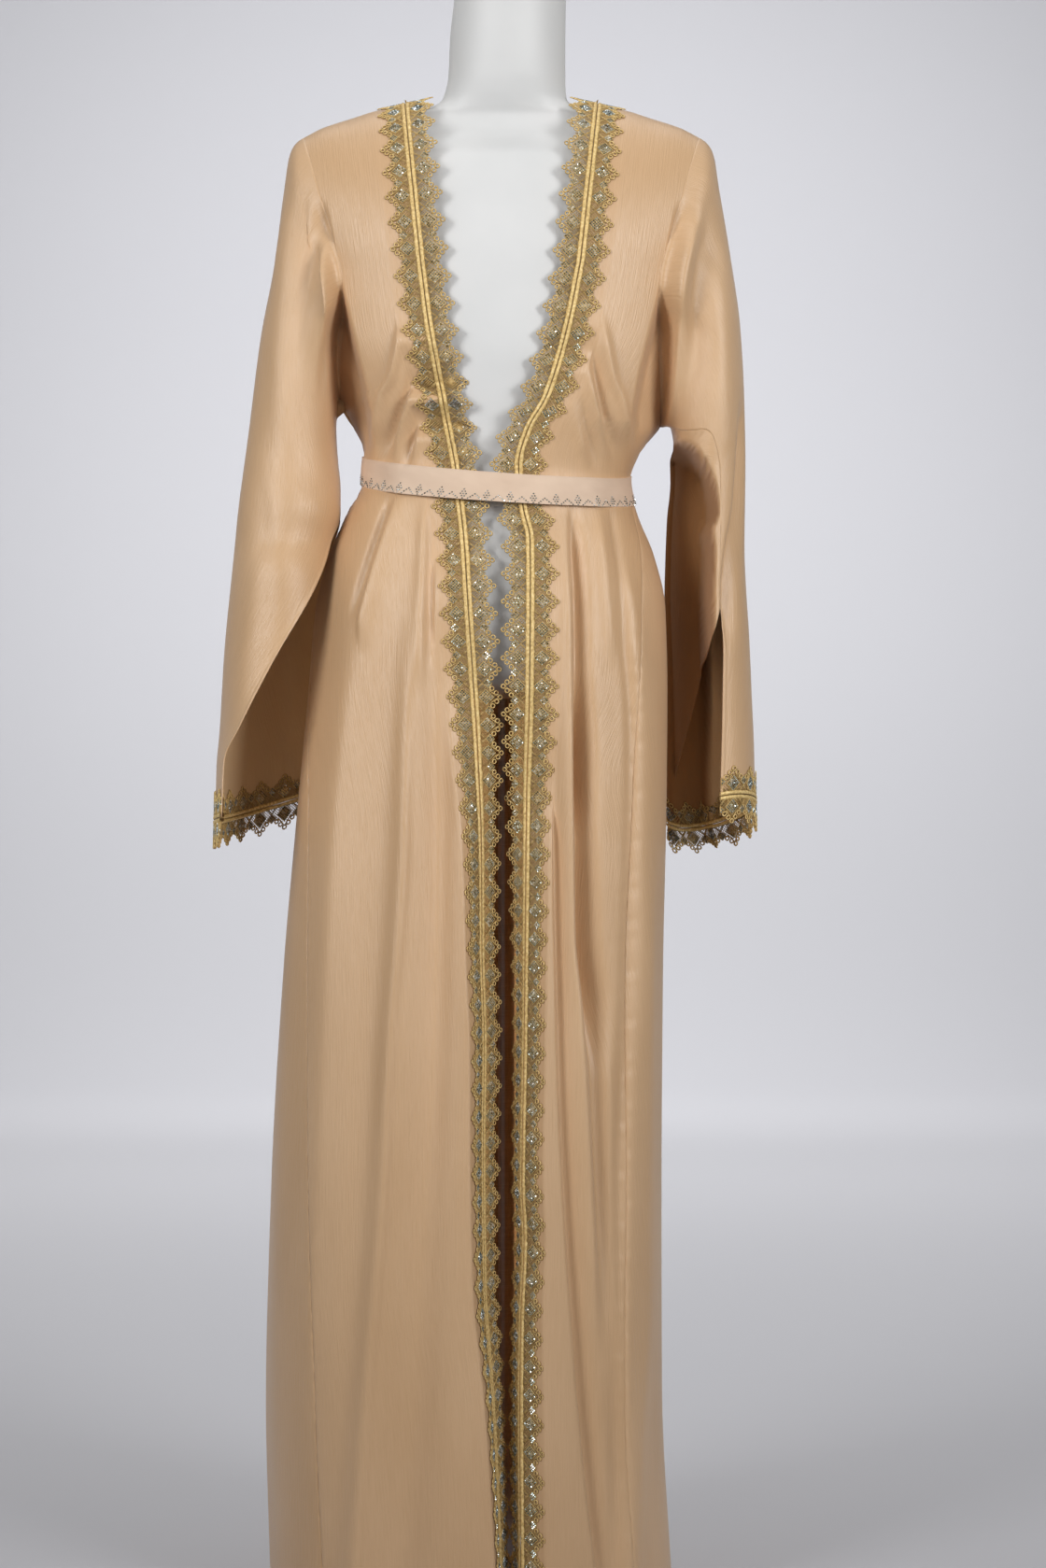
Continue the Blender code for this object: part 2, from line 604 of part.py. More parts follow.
def belt_points():
    """Inner face of the belt, lifted over the two lace bands in front."""
    share, angle = np.meshgrid(np.linspace(-0.5, 0.5, 3), np.linspace(-math.pi, math.pi, 49), indexing="ij")
    z = belt_height(angle) + share * 0.027
    over_lace = LACE_GAP + LACE_WALL + 0.0011
    lift = 0.0013 + over_lace * ease((1.05 - np.abs(angle)) / 0.35)
    return section(angle, z, lift)


def form_points():
    """Rings of the torso up to the shoulders, which follow the cloak's, and the neck."""
    distances = [p[0] for p in SHOULDER]
    heights = [p[1] - WALL - SHOULDER_CLEAR for p in SHOULDER]
    rings = list(FORM)
    for z, front_y, back_y in SHOULDER_RINGS:
        reach = float(np.interp(-z, [-h for h in heights], distances))
        rings.append((z, 0.0, min(reach, 0.178), front_y, back_y))
    rings += NECK
    z, middle, half, front_y, back_y = (np.array(values)[:, None] for values in zip(*rings))
    angle = np.linspace(0.0, 2.0 * math.pi, 29)[None]
    x = middle + half * np.sin(angle)
    y = -np.where(np.cos(angle) > 0.0, front_y, back_y) * np.cos(angle)
    return np.stack(np.broadcast_arrays(x, y, z), axis=-1)


def add_form(material, stand_material, collection):
    points = form_points()
    centre = np.array([0.0, 0.0, 1.2])
    mesh = sheet_mesh("form_torso", points, weld=True, fill=True, flip=not faces_away(points, centre))
    add_object("form_torso", mesh, material, collection)
    top = NECK[-1]
    cap_z = FORM_TOP_Z + FIT_GAP
    add_disc("form_neck_cap", (top[1], 0.0, cap_z), (0.050, 0.049), CAP_HEIGHT, stand_material, collection)
    base = add_disc("stand_base", (0.0, 0.0, 0.0), (BASE_RADIUS, BASE_RADIUS), BASE_HEIGHT, stand_material, collection)
    base.data.materials[0] = stand_material
    pole_height = FORM_BOTTOM_Z - BASE_HEIGHT - 2.0 * FIT_GAP
    pole_place = (0.0, 0.0, BASE_HEIGHT + FIT_GAP)
    add_disc("stand_pole", pole_place, (POLE_RADIUS, POLE_RADIUS), pole_height, stand_material, collection, 24)


def add_disc(name, foot, radii, height, material, collection, sides=48):
    """Upright elliptical cylinder standing on its foot point."""
    bm = bmesh.new()
    bmesh.ops.create_cone(
        bm, cap_ends=True, segments=sides, radius1=1.0, radius2=1.0, depth=1.0
    )
    mesh = bpy.data.meshes.new(name)
    for vert in bm.verts:
        vert.co = (vert.co.x * radii[0], vert.co.y * radii[1], (vert.co.z + 0.5) * height)
    bm.to_mesh(mesh)
    bm.free()
    obj = add_object(name, mesh, material, collection)
    obj.location = foot
    return obj


def build():
    for obj in list(bpy.data.objects):
        bpy.data.objects.remove(obj, do_unlink=True)
    collection = bpy.data.collections.new("Abaya cloak on a dress form")
    bpy.context.scene.collection.children.link(collection)
    cloth = new_material("satin_crepe", CLOTH_COLOUR, 0.45)
    lace = new_material("gold_lace", LACE_COLOUR, 0.5, 0.3)
    belt = new_material("belt_cloth", BELT_COLOUR, 0.7)
    form = new_material("form_white", FORM_COLOUR, 0.6)
    stand = new_material("stand_metal", STAND_COLOUR, 0.35, 1.0)

    names = {-1: "right", 1: "left"}
    for side, name in names.items():
        inside = np.array([side * 0.03, 0.05, 0.6])
        add_wall("front_" + name, front_points(side), WALL, inside, cloth, collection)
    add_wall("back", back_points(), WALL, np.array([0.0, 0.0, 0.7]), cloth, collection)
    for side, name in names.items():
        points = sleeve_points(side)
        centre = points[1:-1].mean(axis=1)[:, None]
        add_wall("sleeve_" + name, points, WALL, centre, cloth, collection, weld=True)
    for side, name in names.items():
        add_lace("lace_front_" + name, front_lace(side), lace, collection)
        add_lace("lace_cuff_" + name, cuff_lace(side), lace, collection)
    add_lace("lace_back_neck", neck_lace(), lace, collection)
    band = belt_points()
    mesh = sheet_mesh("belt", band, weld=True, flip=not faces_away(band, np.array([0.0, 0.0, 1.07])))
    wall = add_object("belt", mesh, belt, collection).modifiers.new("Wall", "SOLIDIFY")
    wall.thickness = BELT_WALL
    wall.offset = 1.0
    add_form(form, stand, collection)


build()
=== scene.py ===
"""Looks of an abaya cloak on a limbless dress form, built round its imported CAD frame.

Every piece follows the frame's own surfaces at a finer step: thin cloth with its folds, gathers, seams and
narrow hems, guipure lace made of threads, rings and small stones, a belt with a row of stones, and the
smooth form. Metres, +Z up, the garment's right side at -X, its front facing -Y.
"""

import math

import bpy
import numpy as np
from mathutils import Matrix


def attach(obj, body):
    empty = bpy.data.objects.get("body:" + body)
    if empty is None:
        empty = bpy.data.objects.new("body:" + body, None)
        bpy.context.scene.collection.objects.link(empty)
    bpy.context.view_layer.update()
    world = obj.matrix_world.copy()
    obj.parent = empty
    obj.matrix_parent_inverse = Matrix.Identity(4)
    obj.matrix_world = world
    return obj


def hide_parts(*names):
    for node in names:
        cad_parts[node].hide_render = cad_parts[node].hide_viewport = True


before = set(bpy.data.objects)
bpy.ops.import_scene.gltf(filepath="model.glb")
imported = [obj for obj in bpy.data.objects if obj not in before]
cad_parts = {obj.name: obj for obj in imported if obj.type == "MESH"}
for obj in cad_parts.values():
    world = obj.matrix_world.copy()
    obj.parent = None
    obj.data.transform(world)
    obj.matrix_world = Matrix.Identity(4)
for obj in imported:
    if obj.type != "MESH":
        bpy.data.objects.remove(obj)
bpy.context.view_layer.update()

# Sides of the garment, by the sign of x
SIDES = {-1: "right", 1: "left"}

# Heights of the hem, the chest line and the two underarms
HEM_Z = 0.015
CHEST_Z = 1.270
UNDERARM_Z = {-1: 1.150, 1: 1.126}

# Degrees by which the halves of a side seam part into the armhole's front and back
ARMHOLE_TURN = 36.0

# Strip of a front under its lace: its width and its share of the front
STRIP = 0.030
STRIP_U = 0.2

# Neckline: x of its corners, how far it goes back and down, and its first place across the back
NECK_X = 0.0925
NECK_BACK_Y = 0.078
NECK_DROP = 0.010
NECK_T = 0.25

# x of the shoulder's tip, where the armhole begins
TIP_X = 0.190

# Thickness of the cloth and of the belt, and how softly a side seam begins at the underarm
CLOTH_WALL = 0.0009
BELT_WALL = 0.0022
SEAM_END = 0.03

# Lace: its usual repeat, the width of half a band, how far it lies off the cloth, and the steps of the
# band's grid along a repeat and across half its width
LACE_PITCH = 0.0263
LACE_REACH = 0.029
LACE_BASE = 0.0005
BAND_STEPS = 8
HALF_STEPS = 8

# Millimetres from the face of a cuff's lace to its back, on the cloth and below it
INNER_DEPTH = 1.8
FREE_DEPTH = -0.1

# Belt: its width, the usual repeat of its stones, the height of its middle, and how much lower it lies
# in front and on the left side
BELT_WIDTH = 0.027
BELT_PITCH = 0.0225
BELT_Z = 1.0725
BELT_DROP = (0.0145, 0.0095)

# Plan section of the cloak at each height: z, x of its right side, x of its left side, depth to the
# front, depth to the back, and the angles of the two side seams from the front centre, in degrees.
BODY = (
    (0.015, -0.217, 0.166, 0.15, 0.17, 45, 50),
    (0.2, -0.223, 0.156, 0.146, 0.16, 46, 50),
    (0.4, -0.2195, 0.155, 0.138, 0.148, 51, 52),
    (0.6, -0.2095, 0.156, 0.129, 0.138, 58, 52),
    (0.75, -0.197, 0.159, 0.122, 0.13, 67, 53),
    (0.87, -0.186, 0.16, 0.117, 0.124, 80, 54),
    (0.95, -0.179, 0.158, 0.112, 0.118, 85, 58),
    (1.0, -0.166, 0.147, 0.104, 0.11, 86, 66),
    (1.04, -0.149, 0.131, 0.097, 0.102, 86, 76),
    (1.07, -0.134, 0.1235, 0.094, 0.096, 86, 82),
    (1.1, -0.133, 0.134, 0.097, 0.098, 87, 85),
    (1.126, -0.144, 0.154, 0.101, 0.101, 88, 88),
    (1.15, -0.158, 0.165, 0.104, 0.104, 88, 88),
    (1.2, -0.18, 0.18, 0.107, 0.106, 88, 88),
    (1.27, -0.192, 0.192, 0.107, 0.104, 88, 88),
)

# Front edges, where the braid of the lace lies: z, x of the right edge.
RIGHT_EDGE = (
    (0.015, 0.0),
    (0.1, -0.003),
    (0.2, -0.008),
    (0.241, -0.011),
    (0.315, -0.0163),
    (0.44, -0.0175),
    (0.54, -0.0166),
    (0.62, -0.0187),
    (0.715, -0.0191),
    (0.815, -0.0223),
    (0.88, -0.0262),
    (0.95, -0.0306),
    (1.006, -0.0342),
    (1.04, -0.0378),
    (1.08, -0.043),
    (1.112, -0.0491),
    (1.172, -0.0603),
    (1.21, -0.0673),
    (1.271, -0.0752),
)

# z, x of the left edge.
LEFT_EDGE = (
    (0.015, 0.0195),
    (0.2, 0.0185),
    (0.28, 0.0195),
    (0.357, 0.0225),
    (0.407, 0.0205),
    (0.54, 0.0226),
    (0.66, 0.0237),
    (0.765, 0.0245),
    (0.865, 0.0268),
    (0.98, 0.0275),
    (1.009, 0.0272),
    (1.04, 0.0205),
    (1.08, 0.0165),
    (1.112, 0.0251),
    (1.143, 0.0425),
    (1.21, 0.0625),
    (1.271, 0.0747),
)

# How far the two fronts roll inwards at their edges: z, then in degrees the right cloth, the right lace
# beyond it, the left cloth and the left lace beyond it.
ROLL = (
    (0.015, 84, 72, 38, 75),
    (0.2, 78, 65, 42, 74),
    (0.3, 72, 58, 48, 74),
    (0.53, 66, 52, 48, 72),
    (0.72, 54, 50, 38, 54),
    (0.86, 20, 22, 8, 22),
    (0.95, 0, 4, 0, 4),
    (1.271, 0, 0, 0, 0),
)

# Top of the shoulder: distance from the form's axis, z.
SHOULDER = (
    (0.0925, 1.4345),
    (0.1243, 1.4273),
    (0.1424, 1.4215),
    (0.1721, 1.412),
    (0.19, 1.403),
)

# Folds of the fronts: depth outwards, width towards the right side and towards the left side, z where it
# ends above and below, how quickly it fades there, then its course as (z, x) pairs.
FRONT_FOLDS = (
    (0.006, 0.016, 0.016, 1.0, 0.0, 0.12,
     ((1.05, -0.07), (0.87, -0.083), (0.6, -0.095), (0.3, -0.114), (0.0, -0.133))),
    (0.0055, 0.026, 0.026, 1.06, 0.0, 0.12,
     ((1.05, -0.098), (0.94, -0.13), (0.7, -0.152), (0.3, -0.158), (0.0, -0.165))),
    (-0.0085, 0.02, 0.02, 0.98, 0.0, 0.12,
     ((1.05, -0.055), (0.7, -0.06), (0.3, -0.075), (0.0, -0.095))),
    (-0.0095, 0.003, 0.009, 1.0, 0.0, 0.12,
     ((1.0, 0.044), (0.89, 0.046), (0.79, 0.05), (0.64, 0.0535), (0.47, 0.0585),
      (0.228, 0.074), (0.0, 0.098))),
    (-0.013, 0.005, 0.01, 1.05, 0.72, 0.06,
     ((1.05, 0.066), (0.948, 0.0725), (0.83, 0.074), (0.64, 0.077))),
    (-0.017, 0.005, 0.012, 0.89, 0.5, 0.1,
     ((0.89, 0.0732), (0.83, 0.074), (0.64, 0.077), (0.57, 0.084), (0.415, 0.092), (0.2, 0.1))),
    (-0.007, 0.006, 0.014, 0.8, 0.22, 0.2,
     ((0.8, 0.0742), (0.64, 0.077), (0.57, 0.084), (0.415, 0.092), (0.2, 0.1))),
    (0.0045, 0.008, 0.005, 1.04, 0.24, 0.12,
     ((1.05, 0.055), (0.948, 0.0625), (0.83, 0.064), (0.64, 0.0665), (0.57, 0.073),
      (0.415, 0.082), (0.2, 0.091))),
    (0.006, 0.018, 0.018, 1.04, 0.0, 0.12,
     ((1.05, 0.08), (0.95, 0.118), (0.8, 0.134), (0.4, 0.122), (0.0, 0.116))),
    (0.0042, 0.004, 0.012, 1.062, 0.9, 0.04, ((1.06, -0.0945), (0.994, -0.1146), (0.9365, -0.1284))),
    (-0.0048, 0.005, 0.007, 1.062, 0.93, 0.04, ((1.06, -0.103), (0.994, -0.123), (0.9365, -0.138))),
    (0.004, 0.009, 0.003, 1.058, 0.86, 0.05, ((1.06, -0.0705), (0.994, -0.0721), (0.9365, -0.0729))),
    (-0.0052, 0.007, 0.003, 1.058, 0.88, 0.05, ((1.06, -0.062), (0.994, -0.064), (0.9365, -0.066))),
    (0.0044, 0.011, 0.004, 0.9, 0.0, 0.16,
     ((0.87, -0.085), (0.72, -0.0868), (0.639, -0.0916), (0.55, -0.0993), (0.38, -0.1067), (0.23, -0.1189),
      (0.0, -0.133))),
    (-0.0034, 0.008, 0.016, 0.9, 0.35, 0.16,
     ((0.87, -0.066), (0.72, -0.06), (0.55, -0.062), (0.35, -0.07))),
    (0.0022, 0.018, 0.01, 0.96, 0.1, 0.2,
     ((0.95, -0.132), (0.7, -0.1562), (0.4, -0.17), (0.1, -0.185))),
    (0.004, 0.006, 0.008, 0.6, 0.1, 0.12, ((0.6, 0.096), (0.415, 0.102), (0.1, 0.116))),
    (-0.0044, 0.007, 0.005, 1.02, 0.0, 0.12,
     ((1.02, 0.1), (0.944, 0.112), (0.82, 0.1225), (0.6, 0.118), (0.4, 0.11), (0.0, 0.106))),
    (0.0026, 0.007, 0.009, 0.72, 0.0, 0.12,
     ((0.72, 0.139), (0.64, 0.1369), (0.3, 0.1369), (0.153, 0.1256), (0.0, 0.117))),
    (0.003, 0.008, 0.008, 1.06, 0.88, 0.05, ((1.06, 0.09), (0.88, 0.104))),
    (-0.0036, 0.005, 0.006, 1.058, 0.9, 0.05, ((1.058, 0.102), (0.9, 0.121))),
    (0.0066, 0.008, 0.006, 1.235, 1.08, 0.045,
     ((1.235, -0.088), (1.164, -0.1007), (1.144, -0.112), (1.085, -0.1225))),
    (-0.008, 0.006, 0.006, 1.2, 1.08, 0.04,
     ((1.2, -0.08), (1.148, -0.0889), (1.131, -0.0972), (1.085, -0.1115))),
    (0.0064, 0.006, 0.005, 1.175, 1.08, 0.035,
     ((1.175, -0.074), (1.148, -0.0816), (1.12, -0.0911), (1.085, -0.101))),
    (-0.007, 0.005, 0.005, 1.155, 1.075, 0.03, ((1.155, -0.0725), (1.109, -0.0833), (1.079, -0.0903))),
    (0.004, 0.005, 0.005, 1.13, 1.075, 0.03, ((1.13, -0.07), (1.104, -0.0773), (1.075, -0.0854))),
    (0.006, 0.006, 0.008, 1.23, 1.08, 0.045,
     ((1.23, 0.092), (1.16, 0.104), (1.14, 0.113), (1.085, 0.122))),
    (-0.007, 0.006, 0.006, 1.205, 1.08, 0.04, ((1.205, 0.085), (1.15, 0.093), (1.085, 0.112))),
    (0.0046, 0.005, 0.006, 1.18, 1.08, 0.035, ((1.18, 0.078), (1.12, 0.092), (1.085, 0.102))),
    (-0.005, 0.005, 0.005, 1.15, 1.075, 0.03, ((1.15, 0.072), (1.109, 0.084), (1.079, 0.092))),
    (0.0036, 0.005, 0.005, 1.125, 1.075, 0.03, ((1.125, 0.068), (1.075, 0.083))),
)

# Their widths are multiplied by this at the height of 1 m, and by this much more a metre further down.
# They fade towards the side seams, the more steeply the larger the last number is
FOLD_WIDTH = 0.75
FOLD_WIDENING = 0.45
FRONT_FADE = 4.0

# Folds of the back: depth outwards, half width in degrees, z where it ends above and how slowly it fades,
# z where it ends below, angle from the front centre at the waist and at the hem.
BACK_FOLDS = (
    (0.008, 12, 1.05, 0.25, 0.0, -112, -100),
    (-0.006, 11, 1.03, 0.25, 0.0, -130, -122),
    (0.009, 13, 1.05, 0.25, 0.0, -150, -146),
    (-0.007, 11, 1.04, 0.25, 0.0, -170, -168),
    (0.009, 13, 1.05, 0.25, 0.0, -192, -192),
    (-0.007, 11, 1.03, 0.25, 0.0, -212, -216),
    (0.0085, 12, 1.05, 0.25, 0.0, -232, -240),
    (-0.006, 11, 1.04, 0.25, 0.0, -250, -262),
    (0.003, 3.6, 1.06, 0.05, 0.8, -118, -106),
    (-0.0032, 2.8, 1.06, 0.05, 0.84, -126, -118),
    (0.0034, 3.4, 1.06, 0.05, 0.74, -141, -136),
    (-0.0034, 2.6, 1.06, 0.05, 0.8, -160, -157),
    (0.0032, 3.2, 1.06, 0.05, 0.7, -177, -178),
    (-0.0034, 2.8, 1.06, 0.05, 0.8, -186, -186),
    (0.003, 3.4, 1.06, 0.05, 0.76, -203, -207),
    (-0.0032, 2.8, 1.06, 0.05, 0.82, -221, -228),
    (0.003, 3.2, 1.06, 0.05, 0.84, -241, -252),
)

# Height of the waist, its distance to the hem, how slowly the folds end below, and what their depth is
# multiplied by at the waist and a metre further down
WAIST_Z = 1.05
WAIST_TO_HEM = 1.03
FOLD_END = 0.15
FOLD_GROWTH = (0.5, 1.2)

# Gathers of the back above the belt: depth, half width in degrees, z where it ends above, angle at the
# belt and above it.
BACK_GATHERS = (
    (0.0026, 3.4, 1.2, -106, -102),
    (-0.0026, 2.8, 1.19, -114, -111),
    (0.0028, 3.6, 1.23, -124, -121),
    (-0.0026, 3.0, 1.2, -134, -133),
    (0.0026, 3.2, 1.24, -146, -145),
    (-0.0028, 3.0, 1.21, -157, -157),
    (0.0028, 3.4, 1.25, -170, -170),
    (-0.0026, 2.8, 1.22, -180, -181),
    (0.0026, 3.2, 1.24, -191, -192),
    (-0.0028, 3.0, 1.21, -203, -204),
    (0.0028, 3.6, 1.23, -215, -217),
    (-0.0026, 2.8, 1.2, -227, -230),
    (0.0026, 3.4, 1.21, -238, -242),
    (-0.0024, 2.8, 1.18, -248, -252),
)

# Gathers: the height up to which they keep their angle at the belt, how far above it they reach the
# other one, and the height where they begin
GATHER_Z = 1.08
GATHER_RISE = 0.12
GATHER_FOOT = 1.078

# Deep folds between the body and the sleeves: z, distance from the axis of their inner and outer line
ARMPIT = (
    (1.08, 0.12, 0.15),
    (1.157, 0.131, 0.164),
    (1.212, 0.144, 0.1715),
    (1.271, 0.1575, 0.175),
    (1.32, 0.1655, 0.1715),
)
# Their depth on each side, z where they end above and below, and y where they end behind
ARMPIT_DEPTH = {-1: 0.042, 1: 0.030}
ARMPIT_TOP = 1.335
ARMPIT_BOTTOM = 1.090
ARMPIT_BACK = 0.034
# How softly they begin at their inner and outer line, and how softly they end
ARMPIT_SOFT = (0.008, 0.006)
ARMPIT_END = (0.06, 0.05, 0.05)

# Rings of a sleeve from the armhole to the cuff. x and z of the outer point, x and z of the point
# nearest the body, y of the middle, depth to the front and to the back, how much higher the front of the
# ring is, and the angles of the front layer's and the back layer's edge, from the point nearest the body
# round by the front. The edges are sewn together down to the elbow and open below it.
RIGHT_SLEEVE = (
    (-0.19, 1.403, -0.1592, 1.15, 0.0, 0.068, 0.07, 0.0, 0, 360),
    (-0.2036, 1.387, -0.16, 1.143, 0.0, 0.066, 0.067, 0.0, 0, 360),
    (-0.21, 1.348, -0.16, 1.132, 0.0, 0.063, 0.063, 0.0, 0, 360),
    (-0.2189, 1.28, -0.1592, 1.112, 0.0, 0.06, 0.059, 0.0, 0, 360),
    (-0.232, 1.209, -0.1575, 1.09, -0.002, 0.058, 0.057, 0.0, 0, 360),
    (-0.243, 1.12, -0.155, 1.066, -0.006, 0.057, 0.057, 0.0, 0, 360),
    (-0.2523, 1.045, -0.1545, 1.041, -0.014, 0.058, 0.06, 0.0, 0, 360),
    (-0.256, 1.012, -0.159, 1.012, -0.008, 0.065, 0.07, 0.0, 22, 335),
    (-0.26, 0.975, -0.157, 0.985, -0.004, 0.078, 0.085, 0.0, 40, 316),
    (-0.267, 0.906, -0.152, 0.918, 0.0, 0.088, 0.095, 0.0, 84, 305),
    (-0.271, 0.832, -0.151, 0.845, 0.0, 0.115, 0.098, 0.0, 122, 302),
    (-0.2735, 0.797, -0.15, 0.818, 0.0, 0.145, 0.098, 0.0, 140, 300),
    (-0.2745, 0.745, -0.15, 0.782, 0.0, 0.16, 0.098, 0.0, 141, 300),
)

LEFT_SLEEVE = (
    (0.19, 1.403, 0.156, 1.126, 0.0, 0.068, 0.07, 0.0, 0, 360),
    (0.2036, 1.387, 0.161, 1.122, 0.0, 0.066, 0.067, 0.0, 8, 368),
    (0.21, 1.35, 0.1645, 1.115, 0.0, 0.063, 0.063, 0.0, 18, 378),
    (0.221, 1.285, 0.1665, 1.1, 0.0, 0.06, 0.059, 0.0, 36, 396),
    (0.23, 1.221, 0.167, 1.078, 0.0, 0.058, 0.057, 0.0, 62, 422),
    (0.234, 1.15, 0.166, 1.062, 0.0, 0.057, 0.056, 0.0, 92, 452),
    (0.2351, 1.086, 0.164, 1.045, 0.0, 0.056, 0.055, 0.0, 104, 464),
    (0.2342, 1.01, 0.162, 1.0, 0.0, 0.056, 0.056, 0.0, 107, 467),
    (0.236, 0.964, 0.1612, 0.964, 0.0, 0.056, 0.056, 0.0, 108, 468),
    (0.2387, 0.925, 0.1618, 0.925, 0.002, 0.058, 0.056, 0.0, 106, 453),
    (0.2414, 0.868, 0.1625, 0.862, 0.005, 0.06, 0.057, 0.004, 102, 434),
    (0.244, 0.812, 0.163, 0.8, 0.008, 0.062, 0.059, 0.009, 98, 407),
    (0.245, 0.763, 0.1635, 0.744, 0.01, 0.063, 0.061, 0.014, 95, 374),
)

# Rings from the armhole over which a sleeve takes up the direction of the body's cloth, and over which
# its own rings are moved onto the armhole
JOIN_RINGS = 1.4
MOVED_RINGS = 4.0

# Rows of the body's grid down the armhole, from the shoulder to the underarm
ARMHOLE_ROWS = {
    side: np.array(
        [0.0, 0.12, 0.3, 0.52, 0.76]
        + [1.0 + (CHEST_Z - UNDERARM_Z[side]) * share for share in (0.0, 0.3, 0.6, 0.85, 1.0)]
    )
    for side in SIDES
}

# Folds of a sleeve: its front, -1, or its back, 1, depth outwards, width towards the body and away from
# it, z where it ends above and below, how quickly it fades, course as (z, x from the axis) pairs
RIGHT_SLEEVE_FOLDS = (
    (-1, -0.0075, 0.009, 0.016, 1.385, 1.19, 0.1,
     ((1.38, 0.19), (1.349, 0.1885), (1.276, 0.179), (1.227, 0.174), (1.19, 0.167), (1.15, 0.162))),
    (-1, 0.004, 0.012, 0.014, 1.37, 1.05, 0.1,
     ((1.4, 0.196), (1.28, 0.207), (1.12, 0.206), (1.0, 0.198))),
    (1, -0.02, 0.01, 0.015, 1.375, 1.085, 0.09,
     ((1.4, 0.18), (1.28, 0.183), (1.19, 0.17), (1.13, 0.164))),
    (1, 0.004, 0.012, 0.014, 1.37, 1.05, 0.1,
     ((1.4, 0.198), (1.28, 0.209), (1.12, 0.206), (1.0, 0.199))),
    (-1, -0.002, 0.01, 0.014, 1.1, 0.9, 0.08, ((1.1, 0.235), (1.0, 0.222), (0.9, 0.226))),
    (-1, 0.0018, 0.012, 0.012, 1.05, 0.8, 0.08, ((1.05, 0.21), (0.9, 0.24), (0.8, 0.25))),
    (1, 0.005, 0.014, 0.014, 1.05, 0.76, 0.08, ((1.05, 0.205), (0.9, 0.212), (0.76, 0.215))),
)

LEFT_SLEEVE_FOLDS = (
    (-1, -0.011, 0.009, 0.016, 1.36, 1.12, 0.1,
     ((1.36, 0.196), (1.31, 0.199), (1.271, 0.193), (1.236, 0.188), (1.19, 0.183), (1.13, 0.176))),
    (-1, 0.004, 0.012, 0.014, 1.37, 1.06, 0.1,
     ((1.4, 0.196), (1.28, 0.208), (1.12, 0.21), (1.0, 0.208))),
    (1, -0.02, 0.01, 0.014, 1.375, 1.095, 0.09,
     ((1.4, 0.18), (1.28, 0.186), (1.19, 0.176), (1.11, 0.172))),
    (1, 0.004, 0.012, 0.014, 1.37, 1.06, 0.1,
     ((1.4, 0.198), (1.28, 0.21), (1.12, 0.21), (1.0, 0.208))),
    (-1, -0.009, 0.004, 0.01, 1.16, 0.9, 0.06,
     ((1.16, 0.233), (1.08, 0.229), (1.04, 0.2255), (1.0, 0.2175), (0.96, 0.2135), (0.9, 0.215))),
    (1, 0.0046, 0.012, 0.012, 1.04, 0.78, 0.08, ((1.04, 0.205), (0.9, 0.208), (0.78, 0.212))),
)

# Where the left sleeve's back layer, which lies deep behind the front layer, meets it: z, x
LEFT_OVERLAP = (
    (0.74, 0.2085),
    (0.85, 0.2065),
    (0.955, 0.204),
    (1.0, 0.205),
    (1.021, 0.2025),
    (1.037, 0.2085),
    (1.072, 0.204),
)

# Lower edge of the cloth that arches over it from the body: x, z
LEFT_ARCH = (
    (0.15, 1.112),
    (0.172, 1.108),
    (0.183, 1.102),
    (0.194, 1.088),
    (0.202, 1.072),
)

# How deep it lies, how softly it begins at the two lines, and the share of its depth at which it takes the
# full painted shade that stands in for the recess's shadow
OVERLAP_DEPTH = 0.095
OVERLAP_SOFT = (0.011, 0.013)
PAINTED_SHADE_SHARE = 0.15

# Dress form at each height: z, x of its middle, half width, depth to the front, depth to the back
FORM = (
    (0.862, 0.0, 0.06, 0.05, 0.05),
    (0.868, 0.0, 0.1, 0.075, 0.08),
    (0.885, 0.0, 0.122, 0.088, 0.095),
    (0.93, 0.0, 0.132, 0.094, 0.1),
    (1.0, 0.0, 0.126, 0.087, 0.091),
    (1.04, 0.0, 0.116, 0.081, 0.085),
    (1.07, 0.0, 0.109, 0.077, 0.08),
    (1.1, 0.0, 0.112, 0.08, 0.081),
    (1.15, 0.0, 0.128, 0.089, 0.086),
    (1.2, 0.0, 0.142, 0.095, 0.089),
    (1.27, 0.0, 0.152, 0.094, 0.088),
    (1.33, 0.0, 0.158, 0.084, 0.08),
    (1.375, 0.0, 0.166, 0.066, 0.066),
    (1.398, 0.0, 0.178, 0.04, 0.042),
    (1.409, 0.0, 0.1705, 0.032, 0.034),
    (1.42, 0.0, 0.1405, 0.03, 0.03),
    (1.429, 0.002, 0.076, 0.036, 0.038),
    (1.44, 0.003, 0.06, 0.042, 0.044),
    (1.46, 0.005, 0.0565, 0.048, 0.048),
    (1.5, 0.006, 0.0555, 0.052, 0.05),
    (1.54, 0.0086, 0.0536, 0.053, 0.052),
)


def smooth_curve(xs, ys, x):
    """A smooth curve through the points, level wherever they turn."""
    xs, ys = np.asarray(xs, float), np.asarray(ys, float)
    slope = np.diff(ys) / np.diff(xs)
    tangent = np.empty(len(xs))
    tangent[0], tangent[-1] = slope[0], slope[-1]
    before, after = slope[:-1], slope[1:]
    total = np.where(before + after == 0.0, 1.0, before + after)
    tangent[1:-1] = np.where(before * after > 0.0, 2.0 * before * after / total, 0.0)
    x = np.clip(np.asarray(x, float), xs[0], xs[-1])
    k = np.clip(np.searchsorted(xs, x, side="right") - 1, 0, len(xs) - 2)
    width = xs[k + 1] - xs[k]
    s = (x - xs[k]) / width
    bend = (1.0 - s) ** 2 * s * width * tangent[k] - s**2 * (1.0 - s) * width * tangent[k + 1]
    return (1.0 - s) ** 2 * (1.0 + 2.0 * s) * ys[k] + s**2 * (3.0 - 2.0 * s) * ys[k + 1] + bend


